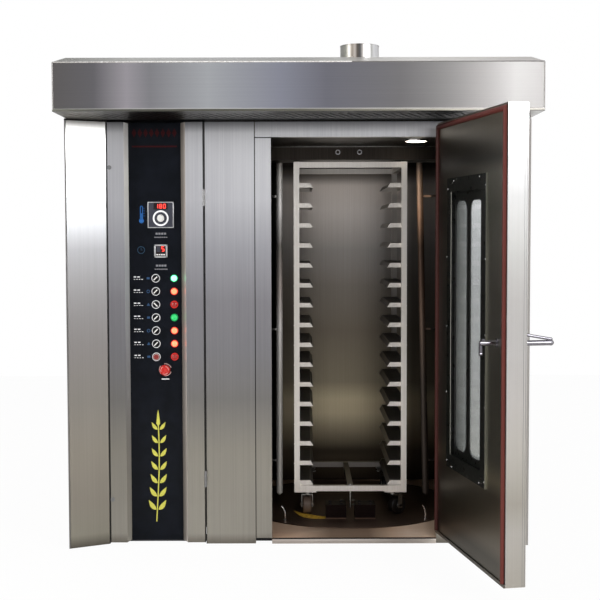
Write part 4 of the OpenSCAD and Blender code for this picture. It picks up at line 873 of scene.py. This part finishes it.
def window_trim():
    """A bevelled steel frame and a seal outside, seals round both lights and bright edges inside."""
    near, far, low, high, border = WINDOW.values()
    trim = Piece("window_trim_outside", "oven_door", DOOR)
    for x0, x1, z0, z1 in [(near, near + border, low, high), (far - border, far, low, high),
                           (near + border, far - border, low, low + border),
                           (near + border, far - border, high - border, high)]:
        trim.box((-x1, -2.2, z0), (-x0, 0.4, z1), DOOR_STEEL, 0.8)
    trim.done()
    bead = Piece("window_seal_outside", "oven_door", DOOR)
    z0, z1, x0, x1 = low + border, high - border, near + border, far - border
    loop = rounded(-x1 + 3, z0 + 3, -x0 - 3, z1 - 3, 22, 6)
    bead.tube([(x, 2, z) for x, z in loop], 4, BLACK_RUBBER, closed=True, segments=10)
    bead.done()
    light_w, side, foot, head, mullion, radius = 159, 20, 31, 40, 41, 48
    seals = Piece("window_light_seals", "oven_door", DOOR)
    for k in range(2):
        left = -far + border + side + k * (light_w + mullion)
        loop = rounded(left + 1, z0 + foot + 1, left + light_w - 1, z1 - head - 1, radius - 1, 8)
        seals.tube([(x, DOOR_T - 9.6, z) for x, z in loop], 2.2, BLACK_RUBBER, closed=True, segments=8)
    seals.done()
    # The inner edge's line is a painted highlight
    line = Piece("window_bright_edge", "oven_door", DOOR)
    line.box((-near - border + 0.4, DOOR_T - 8, z0), (-near - border + 3.6, DOOR_T + 6.6, z1), FRAME_LINE)
    line.box((-far - 0.6, DOOR_T + 0.2, low), (-far + 3.4, DOOR_T + 6.8, high), FRAME_EDGE)
    line.done()


def door_fittings():
    """Edge folds of the leaf, a strip along the liner's foot, the handle's rose, hinge caps and bolts."""
    folds = Piece("door_edge_folds", "oven_door", DOOR)
    # Grey lines for the folds along the leaf's free edge: painted shade in the folds
    for y, wide in ((4, 1.6), (13, 1.6), (DOOR_T - 2, 1.8)):
        folds.box((-DOOR_W - 0.7, y, DOOR_LOW + 3), (-DOOR_W + 0.5, y + wide, DOOR_HIGH - 3), DULL_STEEL)
    folds.box((-DOOR_W + 2, DOOR_T, DOOR_LOW + 1), (-4, DOOR_T + 1.2, DOOR_LOW + 13), BEVEL_STEEL, 0.4)
    folds.done()
    rose = Piece("handle_rose", "oven_door", DOOR)
    spindle_x, spindle_z = -805, 1034
    rose.turned((spindle_x, -3.4, spindle_z), [(38, 0), (47, 0), (47, 2.2), (43, 3.8), (38, 3.8), (38, 0)],
                CHROME, axis=(0, 1, 0), segments=48)
    rose.done()
    caps = Piece("door_hinge_caps", "cabinet")
    pin = mm_of_joint("oven_door_swing")
    for z in HINGE_HEIGHTS:
        for end in (-1, 1):
            caps.turned((pin.x, pin.y, z + end * 50.4), [(0, 0), (9.4, 0), (9.4, 3), (6, 6), (0, 7.5)], ZINC,
                        axis=(0, 0, end), segments=24)
    caps.done()
    bolts = [(pin.x + x, z + dz, 0) for x in (46, 86) for dz in (-34, 34) for z in HINGE_HEIGHTS]
    front = edges("hinge_column_panel")[0].y - 6
    repeat("hinge_plate_bolts", "cabinet", hex_bolt("bolt_a", 11), bolts,
           Matrix.Translation((0, front, 0)) @ OUTWARD)


# ---------- hood ----------
def hood_trim():
    """The hood's lip and bevel sheet, its bright and welded edges, the flue's rim and screws, the catch."""
    low, high = edges("hood_shell")
    bevel, rise, lip_h = 50, 25, 11
    lip = Piece("hood_lip", "cabinet")
    lip.box((low.x, low.y - 1.6, low.z), (high.x, low.y + 0.6, low.z + lip_h), HOOD_LIP, 0.6)
    for x, out in ((low.x, -1.4), (high.x, 1.4)):
        lip.box((min(x, x + out), low.y, low.z), (max(x, x + out), high.y - 2, low.z + lip_h), HOOD_LIP, 0.5)
    lip.tube([(x, low.y - 0.6, low.z + lip_h) for x in (low.x + 1, high.x - 1)], 1.8, BEVEL_STEEL)
    lip.done()
    foot = high.z - rise
    slant = math.hypot(bevel, rise)
    slope = Matrix(((1, 0, 0, 0), (0, bevel / slant, -rise / slant, low.y),
                    (0, rise / slant, bevel / slant, foot), (0, 0, 0, 1)))
    sheet = Piece("hood_bevel_sheet", "cabinet", slope)
    sheet.prism([(low.x + 1, 0), (high.x - 1, 0), (high.x - bevel, slant), (low.x + bevel, slant)],
                -0.2, 0.5, BEVEL_STEEL)
    sheet.done()
    edge = Piece("hood_bevel_edge", "cabinet")
    # The line at the bevel's foot: a painted highlight as far as bright_end, plain grey beyond
    bright_end = 230
    for x0, x1, steel in ((low.x + 2, bright_end, BRIGHT_EDGE), (bright_end, high.x - 2, HOOD_WELD)):
        edge.tube([(x, low.y + 2.2, foot - 0.6) for x in (x0, x1)], 3.2, steel)
    edge.done()
    corner = Piece("hood_corner_welds", "cabinet")
    for x in (low.x + 2, high.x - 2):
        corner.tube([(x, low.y + 1, low.z + 8), (x, low.y + 1, foot - 2)], 3.2, HOOD_WELD)
    corner.done()
    flue_low, flue_high = edges("flue_spigot")
    x, y = (flue_low.x + flue_high.x) / 2, (flue_low.y + flue_high.y) / 2
    rim = Piece("flue_rolled_rim", "cabinet")
    rim.tube(spots_on_circle(x, y, flue_high.z - 1.4, 85, 64), 1.4, FLUE_STEEL, closed=True, segments=10)
    rim.done()
    repeat("flue_flange_screws", "cabinet", pan_screw("screw_c", 4), spots_on_circle(x, y, 0, 95, 8, 0.5),
           Matrix.Translation((0, 0, flue_low.z + 3)), spin=0.8, seed=5)
    catch = Piece("hood_catch", "cabinet")
    knob = [(0, 0), (5, 0), (6, 3), (6, 10), (4.5, 12), (4.5, 30.5), (0, 30.5)]
    catch.turned((1000, -1100, low.z - 30), knob, DARK_PAINT, segments=24)
    catch.done()


# ---------- cabinet ----------
FRONT, REAR = -747, 747


def sideways(x, turn):
    """Axes for screws on a sheet that faces left (turn -1) or right (turn 1): Z points out of it."""
    return Matrix.Translation((x, 0, 0)) @ Matrix.Rotation(turn * math.pi / 2, 4, "Y")


def cabinet_screws():
    """Screws of the rear panel, both sides and the roof."""
    low, high = edges("rear_panel")
    low_z, high_z = low.z + 25, high.z - 25
    rear = [(x, -z, 0) for x in (low.x + 15, -350, 380, high.x - 15)
            for z in [low_z + (high_z - low_z) * k / 9 for k in range(10)]]
    rear += [(x, -z, 0) for z in (low_z - 8, high_z + 8) for x in range(-920, 1000, 184)]
    repeat("rear_panel_screws", "cabinet", pan_screw("screw_d", 5.5), rear,
           Matrix.Translation((0, REAR, 0)) @ INWARD, spin=0.8, seed=6)
    for name, turn in (("left_side_screws", -1), ("right_side_screws", 1)):
        side = [(-turn * z, y, 0) for y in (-640, -40, 560, 715) for z in range(90, 2060, 240)]
        repeat(name, "cabinet", pan_screw("screw_e", 5.5), side,
               sideways(turn * 1067.1, turn), spin=0.8, seed=7)
    top = [(x, y, 0) for x in range(-1030, 1040, 206) for y in (-720, 725)]
    top += [(x, y, 0) for x in (-1052, 1052) for y in range(-600, 700, 150)]
    repeat("roof_screws", "cabinet", pan_screw("screw_f", 5), top,
           Matrix.Translation((0, 0, 2082)), spin=0.8, seed=8)


def seams():
    """Standing seams of the rear, the front's seams, and screwed covers on the roof and the rear."""
    strips = Piece("rear_standing_seams", "cabinet")
    for x in (-350, 380):
        strips.box((x - 12, 746.6, 30), (x + 12, 749.6, 2060), UPRIGHT_STEEL, 0.8)
    strips.done()
    front_seams()
    covers, cover_top = [(-60, 420, -180, 420), (560, 860, -200, 300)], 2085
    cover = Piece("roof_service_covers", "cabinet")
    for x0, x1, y0, y1 in covers:
        cover.box((x0, y0, cover_top - 3.5), (x1, y1, cover_top), LEVEL_STEEL, 1)
    cover.done()
    corners = [(x, y, 0) for x0, x1, y0, y1 in covers
               for x in (x0 + 14, (x0 + x1) / 2, x1 - 14) for y in (y0 + 14, y1 - 14)]
    repeat("service_cover_screws", "cabinet", pan_screw("screw_g", 5), corners,
           Matrix.Translation((0, 0, cover_top)), spin=0.8, seed=9)
    plate = Piece("control_connection_cover", "cabinet")
    plate.box((-960, 746.6, 1180), (-700, 750.6, 1620), UPRIGHT_STEEL, 1)
    plate.done()
    repeat("connection_cover_screws", "cabinet", pan_screw("screw_h", 5),
           [(x, -z, 0) for x in (-948, -712) for z in (1194, 1400, 1606)],
           Matrix.Translation((0, 750.6, 0)) @ INWARD, spin=0.8, seed=10)


def front_seams():
    """Painted shade at the front's seams, in a band under the hood and down the wing's fold, the control hinges'
    sleeves, and the facings of the splays.
    """
    front, top = FRONT, 1989
    door_top, door_foot = edges("control_door")[1].z, edges("control_door")[0].z
    own = Piece("control_door_edges", "control_door")
    for x0, x1 in ((-892.6, -888.8), (-446.4, -442.8)):
        own.box((x0, front - 0.8, door_foot), (x1, front + 1, door_top), SHADOW_SEAM)
    own.done()
    sleeves = Piece("control_hinge_sleeves", "cabinet")
    for z in (311, 1630):
        for low, high in ((-38, -13), (-12.4, 12.4), (13, 38)):
            wall = [(6.05, low), (6.6, low), (6.6, high), (6.05, high), (6.05, low)]
            sleeves.turned((-441, front - 6, z), wall, DULL_STEEL, segments=28)
    sleeves.done()
    fixed = Piece("panel_seam_edges", "cabinet")
    for x0, x1, foot, head in ((-897.4, -894.2, 2, top), (-439.2, -436.4, 2, top),
                               (-207.4, -204.4, 30, top), (-205, -130, 1905, 1909)):
        fixed.box((x0, front - 1.4, foot), (x1, front + 1, head), SHADOW_SEAM)
    # A band of painted shade under the hood, along the front and across the canted wing
    fixed.box((-441, front - 1, top - 9), (894, front + 1, top - 0.4), SHADOW_SEAM)
    proud = 91
    fixed.prism([(-1069.6, front - proud - 0.6), (-894.2, front - 0.8), (-894.2, front + 1),
                 (-1069.6, front - proud + 1)], top - 8, top - 0.4, SHADOW_SEAM)
    fixed.done()
    # A grey line down the wing's outer fold: painted shade on the side, seen edge-on
    fold = Piece("wing_fold", "cabinet")
    fold.box((-1069.9, front - proud - 0.8, 3), (-1063, front - proud + 5, top - 8), HOOD_WELD, 1)
    fold.done()
    splays = Piece("recess_splay_facings", "control_door")
    back = front + 55
    for x0, x1, steel in ((-813, -799, LEFT_SPLAY_STEEL), (-527, -552, RIGHT_SPLAY_STEEL)):
        skin = 0.8 if x0 < x1 else -0.8
        splays.prism([(x0, front + 1), (x0 + skin, front + 0.4), (x1 + skin, back - 4.4), (x1, back - 4.4)],
                     door_foot + 1, door_top - 1, steel)
    splays.done()


# ---------- chamber ----------
def chamber_fittings():
    """Washers and foot strip of the baffle, lamp bezel, the bars' wall plates, the threshold's face."""
    baffle_low, baffle_high = edges("ceiling_baffle")
    axis = mm_of_joint("turntable_spin")
    ring_z, ring_y = baffle_low.z + 39, baffle_low.y
    washers = Piece("baffle_washers", "cabinet")
    for side in (-1, 1):
        washers.turned((axis.x + side * 56, ring_y - 0.6, ring_z),
                       [(7, 0), (14, 0), (14, 1), (12.4, 2.6), (8.4, 2.6), (7, 1), (7, 0)],
                       CHROME, axis=(0, -1, 0))
    washers.box((axis.x - 560, -124.6, baffle_high.z - 4), (axis.x + 560, -123, baffle_high.z - 1), ZINC, 0.3)
    washers.done()
    lens_low, lens_high = edges("chamber_lamp")
    x, y = (lens_low.x + lens_high.x) / 2, (lens_low.y + lens_high.y) / 2
    guard = Piece("lamp_bezel", "cabinet")
    guard.turned((x, y, lens_low.z + 2), [(51.4, 0), (60, 1), (62, 5), (62, 7.5), (51.4, 7.5), (51.4, 0)],
                 CHROME, segments=48)
    guard.done()
    plates = Piece("guide_bar_wall_plates", "cabinet")
    bar_foot, bar_length = 150, 1665
    for left in (axis.x - 600, axis.x + 596):
        for share in (0.1, 0.5, 0.9):
            z = bar_foot + share * bar_length
            plates.box((left, -337, z - 20), (left + 4, -297, z + 20), CHAMBER_STEEL, 1)
    plates.done()
    lip = Piece("threshold_face", "cabinet")
    left, right = -129.6, 643.6
    lip.box((left, FRONT - 1.6, 1), (right, FRONT + 1, 23), THRESHOLD_STEEL, 0.5)
    # A strip of painted shade along the threshold's top
    lip.box((left, FRONT - 2, 23), (right, FRONT + 3, 28.6), SHADOW_SEAM, 1)
    lip.done()
    sill = [(x, FRONT + 25, 0) for x in range(-70, 640, 108)]
    repeat("threshold_screws", "cabinet", pan_screw("screw_j", 4, FLOOR_STEEL), sill,
           Matrix.Translation((0, 0, 27)), spin=0.8, seed=12)


def turntable_fittings():
    """Rolled rim, a yellow loading mark, two spring clips, the bolts of the guide blocks and the hub."""
    axis = mm_of_joint("turntable_spin")
    top = 28
    rim = Piece("turntable_rim", "turntable")
    rim.tube(spots_on_circle(axis.x, 0, top + 1.2, 570, 160), 2.2, DISC_STEEL, closed=True, segments=10)
    rim.done()
    mark = Piece("turntable_mark", "turntable", Matrix.Translation((axis.x, 0, 0)))
    inner, outer = arc((0, 0), 344, 213, 256, 40), []
    for k, (x, y) in enumerate(arc((0, 0), 1, 213, 256, 40)):
        wide = 346 + 66 * math.sin(math.pi * (k / 40) ** 1.4)
        outer.append((x * wide, y * wide))
    mark.prism(band(inner, outer), top, top + 0.8, YELLOW_PAINT)
    mark.done()
    clips = Piece("turntable_clips", "turntable")
    for x, y in ((-76, -386), (631, -367)):
        clips.place = Matrix.Translation((x, y, top))
        clips.tube([(2, 0, 0), (3, 0, 22), (1, 0, 42), (-5, 0, 58), (-14, 0, 68)],
                   [4.5, 4.5, 4, 3.4, 2.6], CHROME)
        clips.turned((2, 0, 0), [(0, 0), (9, 0), (9, 2), (6, 3.4), (0, 3.4)], ZINC, segments=24)
    clips.done()
    high = edges("turntable_disc")[1]
    bolts = [(axis.x + side * x, y, 0) for side in (-1, 1) for x in (46, 102) for y in (-345, -286)]
    repeat("guide_block_bolts", "turntable", hex_bolt("bolt_c", 10, CAST_IRON), bolts,
           Matrix.Translation((0, 0, high.z)))
    repeat("turntable_hub_bolts", "turntable", hex_bolt("bolt_d", 13), spots_on_circle(axis.x, 0, 0, 60, 6),
           Matrix.Translation((0, 0, top)))


def rack_fittings():
    """Caps on the rack's posts, weld beads at its joints, caster bolts, runner rivets and wheel trim."""
    low, high = edges("rack_frame")
    posts = [(x, y) for x in (low.x + 14, high.x - 14) for y in (low.y + 14, high.y - 14)]
    caps = Piece("rack_post_caps", "turntable")
    for x, y in posts:
        caps.box((x - 13.5, y - 13.5, high.z - 0.5), (x + 13.5, y + 13.5, high.z + 1.6), RACK_STEEL, 1.2)
    caps.done()
    beads = Piece("rack_weld_beads", "turntable")
    for x, y in posts:
        inward = 1 if x < (low.x + high.x) / 2 else -1
        for z in (160, 188, high.z - 28, high.z):
            beads.tube([(x + inward * 14, y + dy, z) for dy in (-13, 13)], 2.4, RACK_STEEL, segments=8)
    beads.done()
    plates = [(x + dx, -y - dy, 0) for x in (38.5, 475.5) for y in (-264.5, 264.5)
              for dx in (-42, 42) for dy in (-42, 42)]
    repeat("caster_plate_bolts", "turntable", hex_bolt("bolt_e", 10), plates,
           Matrix.Translation((0, 0, 154)) @ Matrix.Rotation(math.pi, 4, "X"))
    runner_low, runner_high = edges("tray_runners")
    pitch = (runner_high.z - runner_low.z - 26) / 15
    for name, x, turn in (("runner_rivets_left", low.x, -1), ("runner_rivets_right", high.x, 1)):
        spots = [(-turn * (runner_low.z + 12 + k * pitch), y, 0) for k in range(16)
                 for y in (low.y + 14, high.y - 14)]
        repeat(name, "turntable", pan_screw("rivet", 4, RACK_STEEL), spots, sideways(x, turn))
    for name in ("front_left", "front_right", "rear_left", "rear_right"):
        wheel_trim(name)


def wheel_trim(name):
    """A raised hub and a raised ring on each side of a caster wheel, on the wheel's own axis."""
    node = f"caster_wheel_{name}"
    centre = spot(node)
    turn = math.radians(-55) if name == "front_right" else 0
    if name == "front_left":
        centre.y = (edges(node)[0].y + edges(node)[1].y) / 2
    axes = Matrix.Translation(centre) @ Matrix.Rotation(turn, 4, "Z")
    trim = Piece(f"wheel_{name}_trim", BODY_OF[node], axes)
    for side in (-1, 1):
        hub = [(7, 0), (15, 0), (14, 3), (9, 4), (7, 4), (7, 0)]
        trim.turned((side * 19.8, 0, 0), hub, ZINC, axis=(side, 0, 0))
        ring = [(30, 0), (36, 0), (35, 1.2), (31, 1.2), (30, 0)]
        trim.turned((side * 19.9, 0, 0), ring, WHEEL_RESIN, axis=(side, 0, 0), segments=40)
    trim.done()


# ---------- machinery ----------
def machinery():
    """Terminal box, lifting eye and foot bolts of the fan motor."""
    low, high = edges("fan_motor")
    x, y = (low.x + high.x) / 2, (low.y + high.y) / 2
    motor = Piece("fan_motor_fittings", "cabinet")
    motor.box((x - 45, y - 128, low.z + 70), (x + 45, y - 78, low.z + 140), MOTOR_ENAMEL, 4)
    eye_r, cowl = 13, edges("flue_spigot")[1].z - 40
    eye = [(x + u, y - 92, cowl - 60 + v) for u, v in circle(eye_r, 32)]
    motor.tube(eye, 4, ZINC, closed=True)
    motor.done()
    repeat("fan_motor_bolts", "cabinet", hex_bolt("bolt_f", 13), spots_on_circle(x, y, 0, 98, 8),
           Matrix.Translation((0, 0, low.z + 10)))


BODY_OF = {node: body for body, members in frame["record"]["behaviour"]["bodies"].items() for node in members}
for draw in (controller, timer, pictograms, grain_ear, switches, lamps, door_screws, window_trim,
             door_fittings, hood_trim, cabinet_screws, seams, chamber_fittings, turntable_fittings,
             rack_fittings, machinery):
    draw()


# ---------- stage, light and camera ----------
def stage_plane(name, corners, material):
    """A four-cornered stage surface that isn't part of the object."""
    mesh = bpy.data.meshes.new(name)
    mesh.from_pydata(corners, [], [(0, 1, 2, 3)])
    mesh.materials.append(material)
    plane = bpy.data.objects.new(name, mesh)
    bpy.context.scene.collection.objects.link(plane)
    return plane


def seen_white(name, colour, share):
    """Matt paper that also looks white to the camera and through glass."""
    material, tree, shader = finish(name, colour, roughness=0.9)
    path = add(tree, "ShaderNodeLightPath")
    seen = add(tree, "ShaderNodeMath",
               {0: path.outputs["Is Camera Ray"], 1: path.outputs["Is Transmission Ray"]},
               operation="MAXIMUM")
    factor = add(tree, "ShaderNodeMath", {0: seen.outputs[0], 1: share}, operation="MULTIPLY")
    glow = add(tree, "ShaderNodeEmission", {"Color": linear("#ffffff"), "Strength": 1.0})
    blend = add(tree, "ShaderNodeMixShader",
                {0: factor.outputs[0], 1: shader.outputs[0], 2: glow.outputs[0]})
    tree.links.new(blend.outputs[0], tree.nodes["Material Output"].inputs["Surface"])
    return material


def studio():
    """White floor and backdrop, a soft room that is darker in front, and three lamps."""
    far = 14
    stage_plane("floor", [(-far, -far, 0), (far, -far, 0), (far, far, 0), (-far, far, 0)],
                seen_white("paper_floor", "#e8e6e2", 0.96))
    stage_plane("backdrop", [(-far, 6, 0), (far, 6, 0), (far, 6, 2 * far), (-far, 6, 2 * far)],
                seen_white("paper_backdrop", "#ffffff", 1.0))
    world = bpy.data.worlds.new("room")
    world.use_nodes = True
    bpy.context.scene.world = world
    tree = world.node_tree
    place = add(tree, "ShaderNodeTexCoord")
    split = add(tree, "ShaderNodeSeparateXYZ", {0: place.outputs["Generated"]})
    front = add(tree, "ShaderNodeMapRange", {"Value": split.outputs["Y"], "From Min": -1.0, "From Max": 0.3,
                                             "To Min": 0.0, "To Max": 1.0})
    colour = ramp(tree, front.outputs[0], [(0.0, "#d2d2d6"), (1.0, "#e8e8ea")])
    tree.links.new(colour, tree.nodes["Background"].inputs["Color"])
    tree.nodes["Background"].inputs["Strength"].default_value = 0.75
    for name, place, aim, width, watts in [
            ("key", (3.4, -5.5, 3.0), (0, -0.7, 1.2), 2.4, 190),
            ("fill", (-4.6, -3.6, 2.5), (-0.8, -0.7, 1.3), 2.0, 125),
            ("top", (0.2, -1.5, 5.2), (0, -0.4, 1.5), 3.0, 60)]:
        lamp = bpy.data.lights.new(name, "AREA")
        lamp.size = width
        lamp.energy = watts
        holder = bpy.data.objects.new(name, lamp)
        holder.location = place
        holder.rotation_euler = (Vector(aim) - Vector(place)).to_track_quat("-Z", "Y").to_euler()
        bpy.context.scene.collection.objects.link(holder)


def photograph_camera():
    """The photograph's own viewpoint: in front, at chest height, tilted slightly down."""
    camera = bpy.data.cameras.new("camera")
    camera.sensor_width = 36
    camera.lens = 71.95
    holder = bpy.data.objects.new("camera", camera)
    tilt, roll = 0.0548, -0.0024
    holder.matrix_world = (Matrix.Translation(mm(4.2, -6338.8, 1459.4))
                           @ Matrix.Rotation(math.pi / 2 - tilt, 4, "X") @ Matrix.Rotation(roll, 4, "Z"))
    bpy.context.scene.collection.objects.link(holder)
    bpy.context.scene.camera = holder


studio()
photograph_camera()
bpy.context.scene.view_settings.view_transform = "Standard"

bpy.context.view_layer.update()
